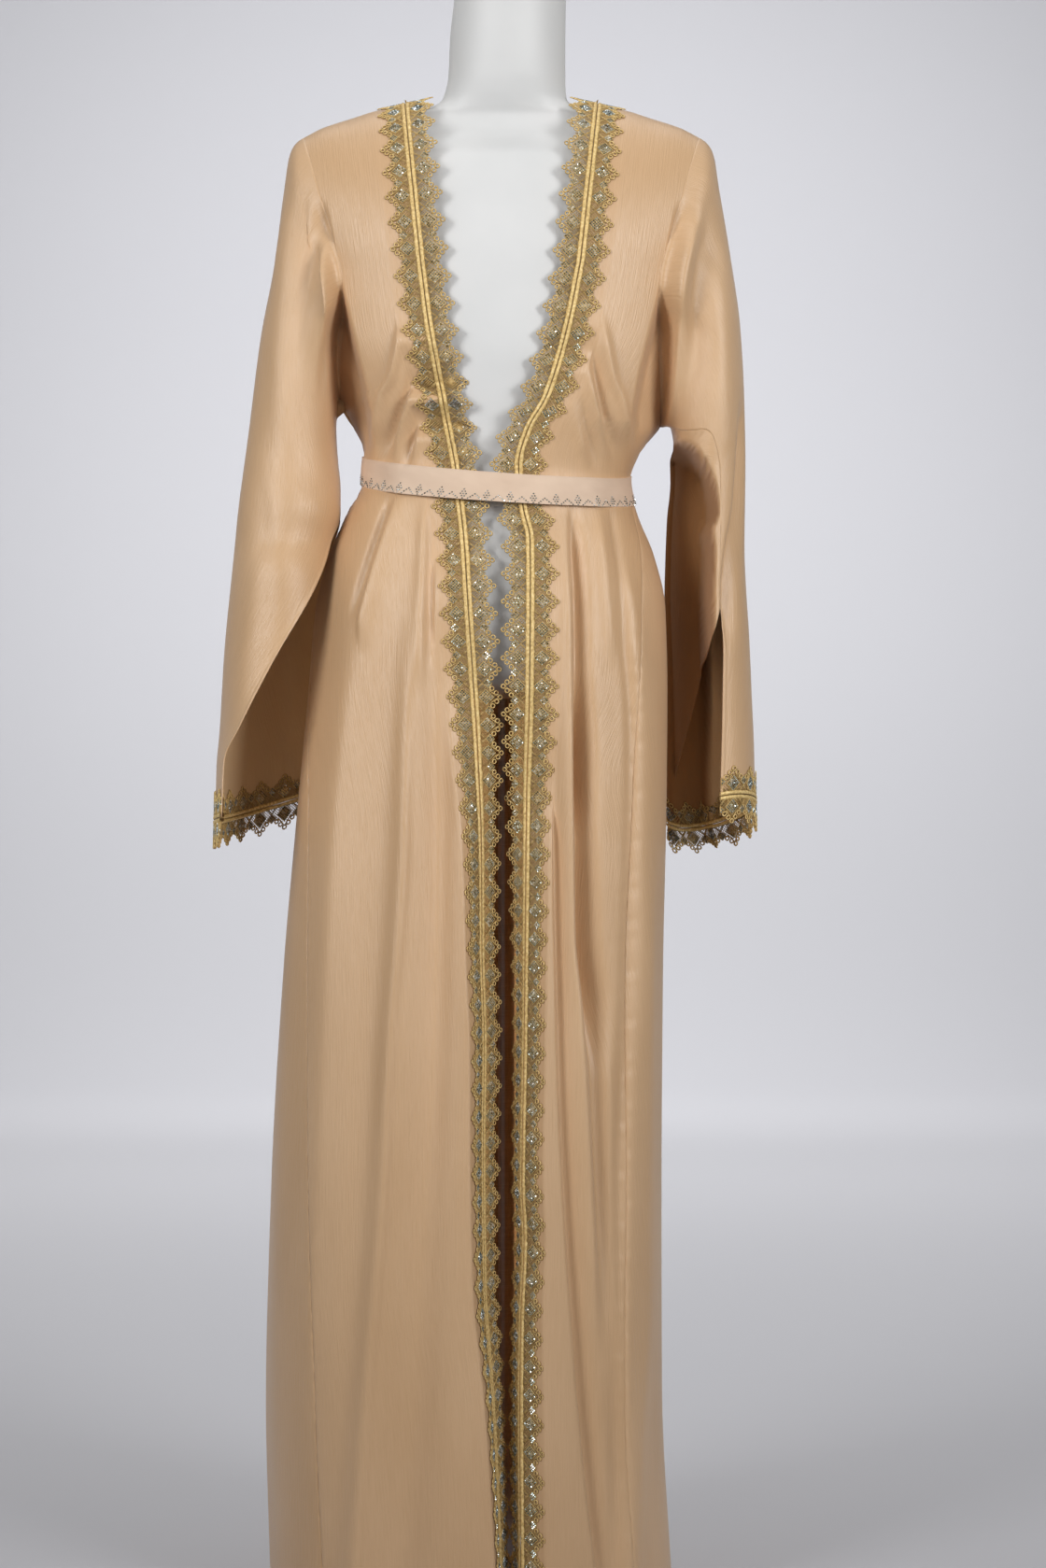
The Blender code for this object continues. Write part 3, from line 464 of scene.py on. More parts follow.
def column(table, index, at):
    """A column of a table on a smooth curve over its first column."""
    return smooth_curve([row[0] for row in table], [row[index] for row in table], at)


def ease(x):
    x = np.clip(x, 0.0, 1.0)
    return x * x * (3.0 - 2.0 * x)


def unit(vectors):
    return vectors / np.maximum(np.linalg.norm(vectors, axis=-1, keepdims=True), 1e-12)


def bell(distance):
    return np.exp(-(distance**2))


# Surface of the cloak's body
def middle_and_half(z):
    right, left = column(BODY, 1, z), column(BODY, 2, z)
    return (left + right) / 2.0, (left - right) / 2.0


def angle_at(x, z):
    """Angle on the front of the section, from its centre, where it has this x."""
    middle, half = middle_and_half(z)
    return np.arcsin(np.clip((x - middle) / half, -1.0, 1.0))


def fold_depth(angle, z):
    """How far the folds move the cloth outwards at this angle from the front centre."""
    depth = np.zeros(np.broadcast(angle, z).shape)
    middle, half = middle_and_half(z)
    x = middle + half * np.sin(angle)
    front_share = np.clip(np.cos(angle) * FRONT_FADE, 0.0, 1.0)
    widen = FOLD_WIDTH + FOLD_WIDENING * (1.0 - z)
    for height, to_right, to_left, top, bottom, soft, course in FRONT_FOLDS:
        centre = column(sorted(course), 1, z)
        fade = ease((top - z) / soft) * ease((z - bottom) / soft if bottom > 0.0 else 1.0)
        spread = np.where(x < centre, to_right, to_left) * widen
        depth += height * fade * front_share * bell((x - centre) / spread)
    turned = np.where(angle > 0.0, angle - 2.0 * math.pi, angle)
    down = np.clip((WAIST_Z - z) / WAIST_TO_HEM, 0.0, 1.0)
    grow = FOLD_GROWTH[0] + (FOLD_GROWTH[1] - FOLD_GROWTH[0]) * np.clip(WAIST_Z - z, 0.0, 1.0)
    for height, width, top, soft, bottom, waist, hem in BACK_FOLDS:
        centre = np.radians(waist + (hem - waist) * down)
        fade = ease((top - z) / soft) * ease((z - bottom) / FOLD_END if bottom > 0.0 else 1.0) * grow
        depth += height * fade * bell((turned - centre) / math.radians(width))
    up = np.clip((z - GATHER_Z) / GATHER_RISE, 0.0, 1.0)
    for height, width, top, belt, above in BACK_GATHERS:
        centre = np.radians(belt + (above - belt) * up)
        fade = ease((top - z) / 0.08) * ease((z - GATHER_FOOT) / 0.02)
        depth += height * fade * bell((turned - centre) / math.radians(width))
    return depth


def section(angle, z, out=0.0):
    """Point of the cloak's outer face at an angle from the front centre, or a distance outside it."""
    middle, half = middle_and_half(z)
    deep = np.where(np.cos(angle) > 0.0, column(BODY, 3, z), column(BODY, 4, z))
    normal_x, normal_y = deep * np.sin(angle), -half * np.cos(angle)
    length = np.hypot(normal_x, normal_y)
    push = (fold_depth(angle, z) + out) / length
    x = middle + half * np.sin(angle) + normal_x * push
    y = -deep * np.cos(angle) + normal_y * push
    return np.stack(np.broadcast_arrays(x, y, z), axis=-1)


def side_angle(side, z, turn):
    """Angle of the side seam. Above the underarm it parts by this turn, into the armhole's front or back."""
    seam = column(BODY, 5 if side < 0 else 6, z)
    rise = np.clip((z - UNDERARM_Z[side]) / (CHEST_Z - UNDERARM_Z[side]), 0.0, 1.0)
    return np.radians(seam + turn * np.sqrt(rise * (2.0 - rise)))


def shoulder_top(x):
    return column(SHOULDER, 1, np.abs(x))


def edge_x(side, z):
    return column(RIGHT_EDGE if side < 0 else LEFT_EDGE, 1, z)


def strip_share(u):
    """Place on the strip under the lace, from the front edge, 0, to the lace's outer line, 1."""
    return np.clip(u / STRIP_U, 0.0, 1.0)


def rest_share(u):
    """Place on the rest of a front, from the lace's outer line, 0, to the side, 1."""
    return np.clip((u - STRIP_U) / (1.0 - STRIP_U), 0.0, 1.0)


def height_at(row):
    """Height of a row of the body's grid, which is 0 at the shoulder seam, 1 at the chest line and grows
    by 1 for each metre below it."""
    return CHEST_Z - np.clip(row - 1.0, 0.0, None)


def front_low(side, u, z):
    """Front at and below the chest. u is 0 at the front edge, STRIP_U at the lace's outer line and 1 at
    the side."""
    cloth_roll = np.radians(column(ROLL, 1 if side < 0 else 3, z))
    x_edge = edge_x(side, z)
    x_line = x_edge + side * STRIP * np.cos(cloth_roll)
    line_angle = angle_at(x_line, z)
    line = section(line_angle, z)
    edge = section(angle_at(x_edge, z), z)
    edge[..., 1] = np.maximum(edge[..., 1], line[..., 1] - 0.004) + STRIP * np.sin(cloth_roll)
    edge[..., 0] = x_edge
    strip = edge + (line - edge) * strip_share(u)[..., None]
    last = side * side_angle(side, z, -ARMHOLE_TURN)
    rest = section(line_angle + (last - line_angle) * rest_share(u), z)
    return np.where((u <= STRIP_U)[..., None], strip, rest)


def over_shoulder(low, top, t):
    """Course of the cloth from the chest line to the shoulder: upright below, level at the top."""
    rise, stay = np.sin(t * math.pi / 2.0), np.cos(t * math.pi / 2.0)
    x = low[..., 0] + (top[..., 0] - low[..., 0]) * rise
    y = top[..., 1] + (low[..., 1] - top[..., 1]) * stay
    z = low[..., 2] + (top[..., 2] - low[..., 2]) * rise
    return np.stack([x, y, z], axis=-1)


def settled(points):
    """The same points with the deep folds at the armpits, which push the cloth backwards."""
    x, y, z = np.abs(points[..., 0]), points[..., 1], points[..., 2]
    inner, outer = column(ARMPIT, 1, z), column(ARMPIT, 2, z)
    depth = np.where(points[..., 0] < 0.0, ARMPIT_DEPTH[-1], ARMPIT_DEPTH[1])
    reach = ease((x - inner) / ARMPIT_SOFT[0] + 0.5) * ease((outer - x) / ARMPIT_SOFT[1] + 0.5)
    fade = ease((ARMPIT_TOP - z) / ARMPIT_END[0]) * ease((z - ARMPIT_BOTTOM) / ARMPIT_END[1])
    fade = fade * ease((ARMPIT_BACK - y) / ARMPIT_END[2])
    moved = points.copy()
    moved[..., 1] += depth * reach * fade
    return moved


def front(side, u, row):
    """Front panel at a place across it, u, and a row of the body's grid."""
    low = front_low(side, u, height_at(row))
    top_x = NECK_X + STRIP * strip_share(u) + (TIP_X - NECK_X - STRIP) * rest_share(u)
    top = np.stack([side * top_x, np.zeros(u.shape), shoulder_top(top_x)], axis=-1)
    return settled(over_shoulder(low, top, np.clip(1.0 - row, 0.0, 1.0)))


def back(t, row):
    """Back panel. t runs from the right side seam, 0, to the left one, 1."""
    z = height_at(row)
    start = -side_angle(-1, z, ARMHOLE_TURN)
    end = side_angle(1, z, ARMHOLE_TURN) - 2.0 * math.pi
    low = section(start + (end - start) * t, z)
    side_share = np.clip(np.minimum(t, 1.0 - t) / NECK_T, 0.0, 1.0)
    seam_x = TIP_X + (NECK_X - TIP_X) * side_share
    q = np.clip((t - NECK_T) / (1.0 - 2.0 * NECK_T), 0.0, 1.0) * math.pi
    on_seam = (t <= NECK_T) | (t >= 1.0 - NECK_T)
    x = np.where(on_seam, np.where(t < 0.5, -seam_x, seam_x), -NECK_X * np.cos(q))
    y = np.where(on_seam, 0.0, NECK_BACK_Y * np.sin(q) ** 0.8)
    top_z = shoulder_top(seam_x) - np.where(on_seam, 0.0, NECK_DROP * np.sin(q))
    top = np.stack([x, y, top_z], axis=-1)
    return settled(over_shoulder(low, top, np.clip(1.0 - row, 0.0, 1.0)))


# Surface of the sleeves
def sleeve_ring(table, w, s):
    """Sleeve ring point. w runs from the front layer's edge, 0, round to the back layer's, 1; s counts
    rings from the armhole."""
    numbered = [(k,) + row for k, row in enumerate(table)]
    outer_x, outer_z, inner_x, inner_z, middle_y, front_y, back_y, rise, first, last = (
        column(numbered, index, s) for index in range(1, 11)
    )
    angle = np.radians(first + (last - first) * w)
    x = (outer_x + inner_x) / 2.0 + (inner_x - outer_x) / 2.0 * np.cos(angle)
    z = (outer_z + inner_z) / 2.0 + (inner_z - outer_z) / 2.0 * np.cos(angle) + rise * np.sin(angle)
    y = middle_y - np.where(np.sin(angle) > 0.0, front_y, back_y) * np.sin(angle)
    return np.stack(np.broadcast_arrays(x, y, z), axis=-1)


def armhole(side, w, inwards=0.0):
    """Armhole of the body panels, or a line this share of a panel inwards from it. w runs from the
    underarm, 0, over the front to the shoulder, 0.5, and down the back to 1."""
    rows = ARMHOLE_ROWS[side]
    row = np.interp(np.abs(1.0 - 2.0 * w), np.linspace(0.0, 1.0, len(rows)), rows)
    in_front = front(side, np.full(w.shape, 1.0 - inwards), row)
    behind = back(np.full(w.shape, inwards / 2.0 if side < 0 else 1.0 - inwards / 2.0), row)
    return np.where((w <= 0.5)[..., None], in_front, behind)


def hung_sleeve(side, w, s):
    """Sleeve hanging from its armhole, with its first rings moved onto that."""
    table = RIGHT_SLEEVE if side < 0 else LEFT_SLEEVE
    ring = settled(sleeve_ring(table, w, s))
    first = armhole(side, w) - settled(sleeve_ring(table, w, np.zeros(w.shape)))
    return ring + first * ((1.0 - np.clip(s / MOVED_RINGS, 0.0, 1.0)) ** 2)[..., None]


def sleeve(side, w, s):
    """Sleeve. Its first ring lies on the armhole and leaves it in the direction of the body's cloth."""
    step = 1e-3
    join = np.full(w.shape, JOIN_RINGS)
    edge = armhole(side, w)
    onward = unit(edge - armhole(side, w, 0.03))
    joined_on = hung_sleeve(side, w, join)
    ahead = (hung_sleeve(side, w, join + step) - joined_on) / step * JOIN_RINGS
    length = np.linalg.norm(joined_on - edge, axis=-1, keepdims=True)
    q = np.clip(s / JOIN_RINGS, 0.0, 1.0)[..., None]
    curve = (
        (1.0 + 2.0 * q) * (1.0 - q) ** 2 * edge
        + q * (1.0 - q) ** 2 * onward * length
        + q**2 * (3.0 - 2.0 * q) * joined_on
        - q**2 * (1.0 - q) * ahead
    )
    share = ease(np.minimum(w, 1.0 - w) / 0.12)[..., None]
    plain = hung_sleeve(side, w, s)
    return np.where(q < 1.0, plain + (curve - plain) * share, plain)


# Mesh helpers
def mesh_object(name, points, faces, materials, slots=None, smooth=True):
    mesh = bpy.data.meshes.new(name)
    mesh.from_pydata(points.tolist(), [], faces)
    for material in materials:
        mesh.materials.append(material)
    if slots is not None:
        mesh.polygons.foreach_set("material_index", slots)
    if np.isscalar(smooth):
        smooth = np.full(len(mesh.polygons), smooth)
    mesh.polygons.foreach_set("use_smooth", smooth)
    mesh.update()
    obj = bpy.data.objects.new(name, mesh)
    bpy.context.scene.collection.objects.link(obj)
    return obj


def grid_faces(rows, columns):
    index = np.arange(rows * columns).reshape(rows, columns)
    corners = [index[:-1, :-1], index[:-1, 1:], index[1:, 1:], index[1:, :-1]]
    return np.stack(corners, axis=-1).reshape(-1, 4)


def tube_faces(rows, columns):
    """Faces of a grid whose last column is joined to its first."""
    index = np.arange(rows * columns).reshape(rows, columns)
    turned = np.roll(index, -1, axis=1)
    return np.stack([index[:-1], turned[:-1], turned[1:], index[1:]], axis=-1).reshape(-1, 4).tolist()


def grid_normals(points, centre):
    """Unit normals of a grid of points, pointing away from this line of centres."""
    normals = unit(np.cross(np.gradient(points, axis=1), np.gradient(points, axis=0)))
    inner = slice(1, -1)
    away = (normals[inner, inner] * (points[inner, inner] - centre)).sum()
    return normals if away > 0.0 else -normals


def run_lengths(points, axis):
    steps = np.linalg.norm(np.diff(points, axis=axis), axis=-1)
    start = np.zeros_like(np.take(steps, [0], axis=axis))
    return np.concatenate([start, np.cumsum(steps, axis=axis)], axis=axis)


def add_cloth(name, points, centre, materials, zero_column, wall=CLOTH_WALL, painted_shade=0.0):
    """Thin cloth whose outer face is this grid. Its attribute gives each point's place on the cloth, and how
    much painted shade it takes: a dark colour standing in for the shadow in the left sleeve's recess."""
    rows, columns = points.shape[:2]
    normals = grid_normals(points, centre)
    faces = grid_faces(rows, columns)
    middle = (rows // 2, columns // 2)
    across = points[middle[0], middle[1] + 1] - points[middle]
    along = points[middle[0] + 1, middle[1]] - points[middle]
    if np.dot(np.cross(across, along), normals[middle]) < 0.0:
        faces = faces[:, ::-1]
    obj = mesh_object(name, points.reshape(-1, 3), faces.tolist(), materials)
    width = run_lengths(points, 1)
    width = width - width[:, zero_column : zero_column + 1]
    length = np.broadcast_to(run_lengths(points, 0)[:, zero_column : zero_column + 1], width.shape)
    place = np.stack([width, length, np.zeros_like(width) + painted_shade], axis=-1)
    attribute = obj.data.attributes.new("cloth", "FLOAT_VECTOR", "POINT")
    attribute.data.foreach_set("vector", place.astype(np.float32).ravel())
    solid = obj.modifiers.new("Wall", "SOLIDIFY")
    solid.thickness = wall
    solid.offset = -1.0
    solid.material_offset = len(materials) - 1
    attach(obj, "root")
    return obj


def seam_shape(distance, along, seed):
    """Depth outwards near a sewn edge: the cloth dips into the seam and puckers a little beside it."""
    dip = -0.0005 * bell(distance / 0.0014)
    waves = ((1.0, 410.0, seed), (0.8, 263.0, 2.0 * seed), (0.6, 151.0, 0.0))
    wave = sum(height * np.sin(along * pace + start) for height, pace, start in waves)
    return dip + 0.00030 * wave * bell(distance / 0.011) * ease(distance / 0.002)


def hem_shape(distance, width=0.0035, rise=0.0007):
    """Depth outwards of a narrow rolled hem along a free edge."""
    return rise * ease((width - distance) / 0.001)


# Cloth of the body
def body_rows():
    shoulder = np.linspace(0.0, 1.0, 29)[:-1]
    below = 1.0 + CHEST_Z - np.linspace(CHEST_Z, HEM_Z, 258)
    return np.concatenate([shoulder, below])


def front_columns():
    strip = np.linspace(0.0, STRIP_U, 9)[:-1]
    rest = np.linspace(STRIP_U, 0.985, 90)
    return np.concatenate([strip, rest, [0.991, 0.996, 1.0]])


def with_side_seams(points, centre, underarm, seed, on_both):
    """The same points, dipping into the side seam below the underarm. A front has that seam at its last
    column only, the back at both."""
    width, along = run_lengths(points, 1), run_lengths(points, 0)
    distance = width[:, -1:] - width
    if on_both:
        distance = np.minimum(width, distance)
    below = ease((underarm - points[..., 2]) / SEAM_END)
    depth = below * seam_shape(distance, along, seed)
    return points + grid_normals(points, centre) * depth[..., None]


def add_front(side, material):
    row, u = np.meshgrid(body_rows(), front_columns(), indexing="ij")
    centre = np.array([side * 0.03, 0.05, 0.6])
    points = with_side_seams(front(side, u, row), centre, UNDERARM_Z[side], 1.0 + side, False)
    return add_cloth("cloth_front_" + SIDES[side], points, centre, material, 8)


def add_back(material):
    inner = np.linspace(NECK_T, 1.0 - NECK_T, 58)
    outer = np.concatenate([[0.0, 0.0022, 0.005], np.linspace(0.010, NECK_T, 28)[:-1]])
    columns = np.concatenate([outer, inner, 1.0 - outer[::-1]])
    row, t = np.meshgrid(body_rows(), columns, indexing="ij")
    centre = np.array([0.0, 0.0, 0.7])
    points = with_side_seams(back(t, row), centre, UNDERARM_Z[1], 2.0, True)
    return add_cloth("cloth_back", points, centre, material, len(columns) // 2)


# Cloth of the sleeves
def overlap_depth(points):
    """How far back the inner part of the left sleeve's front lies."""
    x, y, z = points[..., 0], points[..., 1], points[..., 2]
    seam, arch = column(LEFT_OVERLAP, 1, z), column(LEFT_ARCH, 1, x)
    reach = ease((seam - x) / OVERLAP_SOFT[0]) * ease((arch - z) / OVERLAP_SOFT[1])
    return OVERLAP_DEPTH * reach * (1.0 - 0.8 * ease((y + 0.03) / 0.09))


def sleeve_fold_depth(side, points):
    table = RIGHT_SLEEVE_FOLDS if side < 0 else LEFT_SLEEVE_FOLDS
    x, y, z = side * points[..., 0], points[..., 1], points[..., 2]
    depth = np.zeros(x.shape)
    for face, height, inward, outward, top, bottom, soft, course in table:
        centre = column(sorted(course), 1, z)
        fade = ease((top - z) / soft) * ease((z - bottom) / soft) * ease((face * y - 0.012) / 0.02)
        depth += height * fade * bell((x - centre) / np.where(x < centre, inward, outward))
    return depth


def sleeve_grid(side):
    table = RIGHT_SLEEVE if side < 0 else LEFT_SLEEVE
    end = np.array([0.0, 0.004, 0.008, 0.012, 0.016])
    columns = np.concatenate([end, np.linspace(0.022, 0.978, 104), 1.0 - end[::-1]])
    s, w = np.meshgrid(np.linspace(0.0, len(table) - 1.0, 132), columns, indexing="ij")
    points = sleeve(side, w, s)
    if side > 0:
        points[..., 1] += overlap_depth(points)
    centre = points[1:-1].mean(axis=1)[:, None]
    normals = grid_normals(points, centre)
    depth = sleeve_fold_depth(side, points) * ease(s / 1.2)
    return points + normals * depth[..., None], w, s, centre


def add_sleeve(side, material):
    points, w, s, centre = sleeve_grid(side)
    width = run_lengths(points, 1)
    distance = np.minimum(width, width[:, -1:] - width)
    parted = np.linalg.norm(points[:, 0] - points[:, -1], axis=-1)[:, None]
    depth = hem_shape(distance) * ease((parted - 0.002) / 0.01)
    points = points + grid_normals(points, centre) * depth[..., None]
    # The left sleeve's recess takes painted shade: a dark colour standing in for the shadow cast there by
    # the arch and the body.
    painted_shade = 0.0
    if side > 0:
        painted_shade = ease(overlap_depth(sleeve(side, w, s)) / OVERLAP_DEPTH / PAINTED_SHADE_SHARE)
    name = "cloth_sleeve_" + SIDES[side]
    return add_cloth(name, points, centre, material, points.shape[1] // 2, painted_shade=painted_shade)


# Lace: one repeat of the motif on the flat band, as pieces of thread, rings and stones in millimetres
def thread(path, width, low, high, closed=False):
    """Thread along a polyline: a section of three points at each bend, flat below."""
    path = np.array(path, float)
    count = len(path)
    if closed:
        ahead, behind = np.roll(path, -1, axis=0), np.roll(path, 1, axis=0)
    else:
        ahead = np.vstack([path[1:], path[-1:]])
        behind = np.vstack([path[:1], path[:-1]])
    along = unit(ahead - behind)
    first, second = unit(ahead - path), unit(path - behind)
    across = np.stack([-along[:, 1], along[:, 0]], axis=1)
    stretch = np.ones(count)
    if closed or count > 2:
        inner = slice(None) if closed else slice(1, -1)
        half_turn = np.clip((first[inner] * second[inner]).sum(axis=1), -0.6, 1.0)
        stretch[inner] = 1.0 / np.sqrt((1.0 + half_turn) / 2.0)
    side = across * (stretch * width / 2.0)[:, None]
    points = np.zeros((count, 3, 3))
    points[:, :, :2] = path[:, None]
    points[:, 0, :2] -= side
    points[:, 2, :2] += side
    points[:, :, 2] = [low, high, low]
    faces = []
    for k in range(count if closed else count - 1):
        n = (k + 1) % count
        faces += [(3 * k + m, 3 * k + (m + 1) % 3, 3 * n + (m + 1) % 3, 3 * n + m) for m in range(3)]
    if not closed:
        faces += [(0, 2, 1), tuple(3 * (count - 1) + m for m in range(3))]
    return points.reshape(-1, 3), faces

def ring(centre, outer, hole, low, high, sides=8):
    radius = (outer + hole) / 2.0
    angle = np.arange(sides) * 2.0 * math.pi / sides
    path = np.stack([centre[0] + radius * np.cos(angle), centre[1] + radius * np.sin(angle)], axis=1)
    return thread(path, outer - hole, low, high, closed=True)


def plate(corners, low, high):
    corners = np.array(corners, float)
    count = len(corners)
    points = np.zeros((2 * count, 3))
    points[:, :2] = np.vstack([corners, corners])
    points[:count, 2], points[count:, 2] = low, high
    faces = [(k, (k + 1) % count, count + (k + 1) % count, count + k) for k in range(count)]
    return points, faces + [tuple(range(count))[::-1], tuple(range(count, 2 * count))]


def stone(centre, radius, low, turn=0.0):
    """Cut stone: five sides that lean in to a flat top, which tips a little to one side."""
    angle = np.arange(5) * math.pi * 0.4 + turn
    circle = np.stack([np.cos(angle), np.sin(angle)], axis=1)
    points = np.zeros((10, 3))
    points[:5, :2] = np.array(centre) + circle * radius
    points[5:, :2] = np.array(centre) + circle * radius * 0.55
    points[:5, 2] = low
    points[5:, 2] = low + radius * (0.7 + 0.22 * np.cos(angle + 2.4 * turn))
    faces = [(k, (k + 1) % 5, 5 + (k + 1) % 5, 5 + k) for k in range(5)]
    return points, faces + [tuple(range(5, 10))]


def diamond(s, t, half_s, half_t):
    return [(s - half_s, t), (s, t - half_t), (s + half_s, t), (s, t + half_t)]


def scallop(s, pitch):
    """How far the lace reaches from the middle of the braid, at a place along one repeat."""
    return 20.4 - 5.4 * np.abs(2.0 * s / pitch - 1.0)


def lace_net(pitch):
    """Ground of the lace: crossing slanted threads between the braid and the scalloped edge."""
    step, share = pitch / 10.0, np.linspace(0.0, 1.0, 120)
    threads = []
    for lean in (-1.0, 1.0):
        for k in range(-10, 21):
            t = 3.4 + 23.0 * share
            s = (k + 0.5) * step + lean * 0.95 * (t - 3.4)
            inside = np.flatnonzero((s >= 0.0) & (s <= pitch) & (t <= scallop(s, pitch)))
            if len(inside) > 6:
                ends = inside[[0, -1]]
                threads.append(thread(list(zip(s[ends], t[ends])), 0.68, 0.05, 0.62))
    return threads


def lace_half(pitch):
    """Threads and stones of one repeat on the side t > 0, in millimetres, with the tip at the middle."""
    tip = pitch / 2.0
    threads, stones = lace_net(pitch), []
    threads.append(plate(diamond(tip, 11.2, 6.9, 7.2), 0.1, 0.5))
    threads.append(thread(diamond(tip, 11.2, 7.3, 7.6), 0.9, 0.1, 1.1, closed=True))
    for a in range(5):
        for b in range(5):
            place = (tip + (a - b) * 1.44, 11.2 + (a + b - 4.0) * 1.5)
            stones.append(stone(place, 0.95, 0.5, 0.5 * a + 0.9 * b))
    for s, t in ((0.0, 25.0), (-4.0, 21.3), (4.0, 21.3), (-8.1, 17.3), (8.1, 17.3)):
        threads.append(ring((tip + s, t), 2.75, 1.25, 0.1, 1.25))
    for s in (-1.0, 1.0):
        threads.append(thread([(tip + 6.4 * s, 14.4), (tip + 0.4 * s, 22.9)], 1.0, 0.1, 1.0))
        threads.append(thread([(tip + 8.6 * s, 3.9), (tip + 1.4 * s, 3.9)], 0.7, 0.1, 0.9))
        threads.append(thread([(tip + 3.2 * s, 3.9), (tip + 5.4 * s, 7.0)], 0.8, 0.1, 0.9))
    for end, s in ((0.0, 1), (pitch, -1)):
        inward = [(end, 9.2), (end + 4.4 * s, 13.6), (end, 18.0)]
        threads.append(thread(inward, 0.85, 0.1, 1.1))
        threads.append(thread([(end, 9.0), (end + 4.6 * s, 3.8)], 0.9, 0.1, 0.95))
        threads.append(plate([(end, 9.6), (end + 3.9 * s, 13.6), (end, 17.5)][::s], 0.1, 0.45))
        for across, up in ((1.45, -1.45), (1.45, 1.45), (2.9, 0.0)):
            stones.append(stone((end + across * s, 13.6 + up), 0.92, 0.45, across + up))
    for up in (-2.9, 0.0, 2.9):
        stones.append(stone((pitch - 0.1, 13.6 + up), 0.92, 0.45, up))
    return threads, stones


def braid(pitch):
    """The two cords along the middle of the band, with the twist of their thread."""
    steps = 10
    profile = np.array([(-1.9, 0.5), (-1.1, 1.35), (0.0, 1.6), (1.1, 1.35), (1.9, 0.5), (0.0, 0.1)])
    wave = (np.arange(steps + 1) % 2)[:, None]
    pieces = []
    for middle in (-2.1, 2.1):
        points = np.zeros((steps + 1, len(profile), 3))
        points[:, :, 0] = np.linspace(0.0, pitch, steps + 1)[:, None]
        points[:, :, 1] = middle + profile[:, 0] * (1.0 - 0.05 * wave)
        points[:, :, 2] = profile[:, 1] - 0.42 * wave * (profile[:, 1] > 1.0)
        pieces.append((points.reshape(-1, 3), tube_faces(steps + 1, len(profile))))
    return pieces


def joined(pieces):
    """Pieces as one set of points and faces."""
    points, faces, count = [], [], 0
    for place, shape in pieces:
        points.append(place)
        faces += [tuple(v + count for v in face) for face in shape]
        count += len(place)
    return np.vstack(points), faces


def repeated(motif, faces, repeats, pitch):
    """A motif in millimetres, repeated along a line in metres."""
    points = np.vstack([motif / 1000.0 + (k * pitch, 0.0, 0.0) for k in range(repeats)])
    return points, [tuple(v + k * len(motif) for v in face) for k in range(repeats) for face in faces]


def mirrored(pieces):
    """The same pieces on the other side of the braid."""
    return [(place * (1.0, -1.0, 1.0), [face[::-1] for face in shape]) for place, shape in pieces]


def turned_in(pieces, depth):
    """The same pieces facing inwards, this far behind the outer face of the cloth."""
    return [
        (place * (1.0, 1.0, -1.0) - (0.0, 0.0, depth), [face[::-1] for face in shape])
        for place, shape in pieces
    ]


def lace_motif(pitch, inner_face=False):
    """One repeat. Along a cuff, the half on the cloth is sewn to its inner face too, and the half below
    the cloth has the same face on both sides."""
    threads, stones = lace_half(pitch)
    inner_threads, inner_stones = [], []
    if inner_face:
        inner_threads = turned_in(threads + braid(pitch), INNER_DEPTH)
        inner_threads += turned_in(mirrored(threads), FREE_DEPTH)
        inner_stones = turned_in(stones, INNER_DEPTH) + turned_in(mirrored(stones), FREE_DEPTH)
    threads = threads + mirrored(threads) + braid(pitch) + inner_threads
    stones = stones + mirrored(stones) + inner_stones
    points, faces = joined(threads + stones)
    slots = np.zeros(len(faces), int)
    slots[sum(len(shape) for _, shape in threads) :] = 1
    return points, faces, slots


def between(values, at):
    """Rows of an array at fractional positions, straight between them."""
    k = np.clip(np.floor(at).astype(int), 0, len(values) - 2)
    share = (at - k).reshape((-1,) + (1,) * (values.ndim - 1))
    return values[k] * (1.0 - share) + values[k + 1] * share


def even_steps(line, steps):
    length = run_lengths(line, 0)
    return np.interp(np.linspace(0.0, length[-1], steps + 1), length, np.arange(len(line)))


def band_grid(cloth, bend, centre):
    """Grid that a band of lace follows. cloth holds points along the edge and away from it; the other half
    of the band runs on beyond the edge, bent inwards by this angle. Returns its points, its normals, the
    number of repeats and its length."""
    edge = cloth[:, 0]
    length = run_lengths(edge, 0)[-1]
    repeats = max(2, round(length / LACE_PITCH))
    at = even_steps(edge, repeats * BAND_STEPS)
    away = between(cloth, at)
    bend = between(bend, at)[:, None]
    distance = run_lengths(away, 1)
    reach = np.linspace(0.0, LACE_REACH, HALF_STEPS + 1)
    places = [np.interp(reach, row, np.arange(away.shape[1])) for row in distance]
    on_cloth = np.stack([between(away[k], place) for k, place in enumerate(places)])
    inward = unit(on_cloth[:, 1] - on_cloth[:, 0])
    normal = unit(np.cross(inward, np.gradient(on_cloth[:, 0], axis=0)))
    normal = normal * np.sign((normal * (on_cloth[:, 0] - centre)).sum())
    beyond = -inward * np.cos(bend) - normal * np.sin(bend)
    free = on_cloth[:, :1] + beyond[:, None] * reach[None, :0:-1, None]
    points = np.concatenate([free, on_cloth], axis=1)
    normals = unit(np.cross(np.gradient(points, axis=1), np.gradient(points, axis=0)))
    normals = normals * np.sign((normals[:, HALF_STEPS] * normal).sum())
    return points, normals, repeats, length


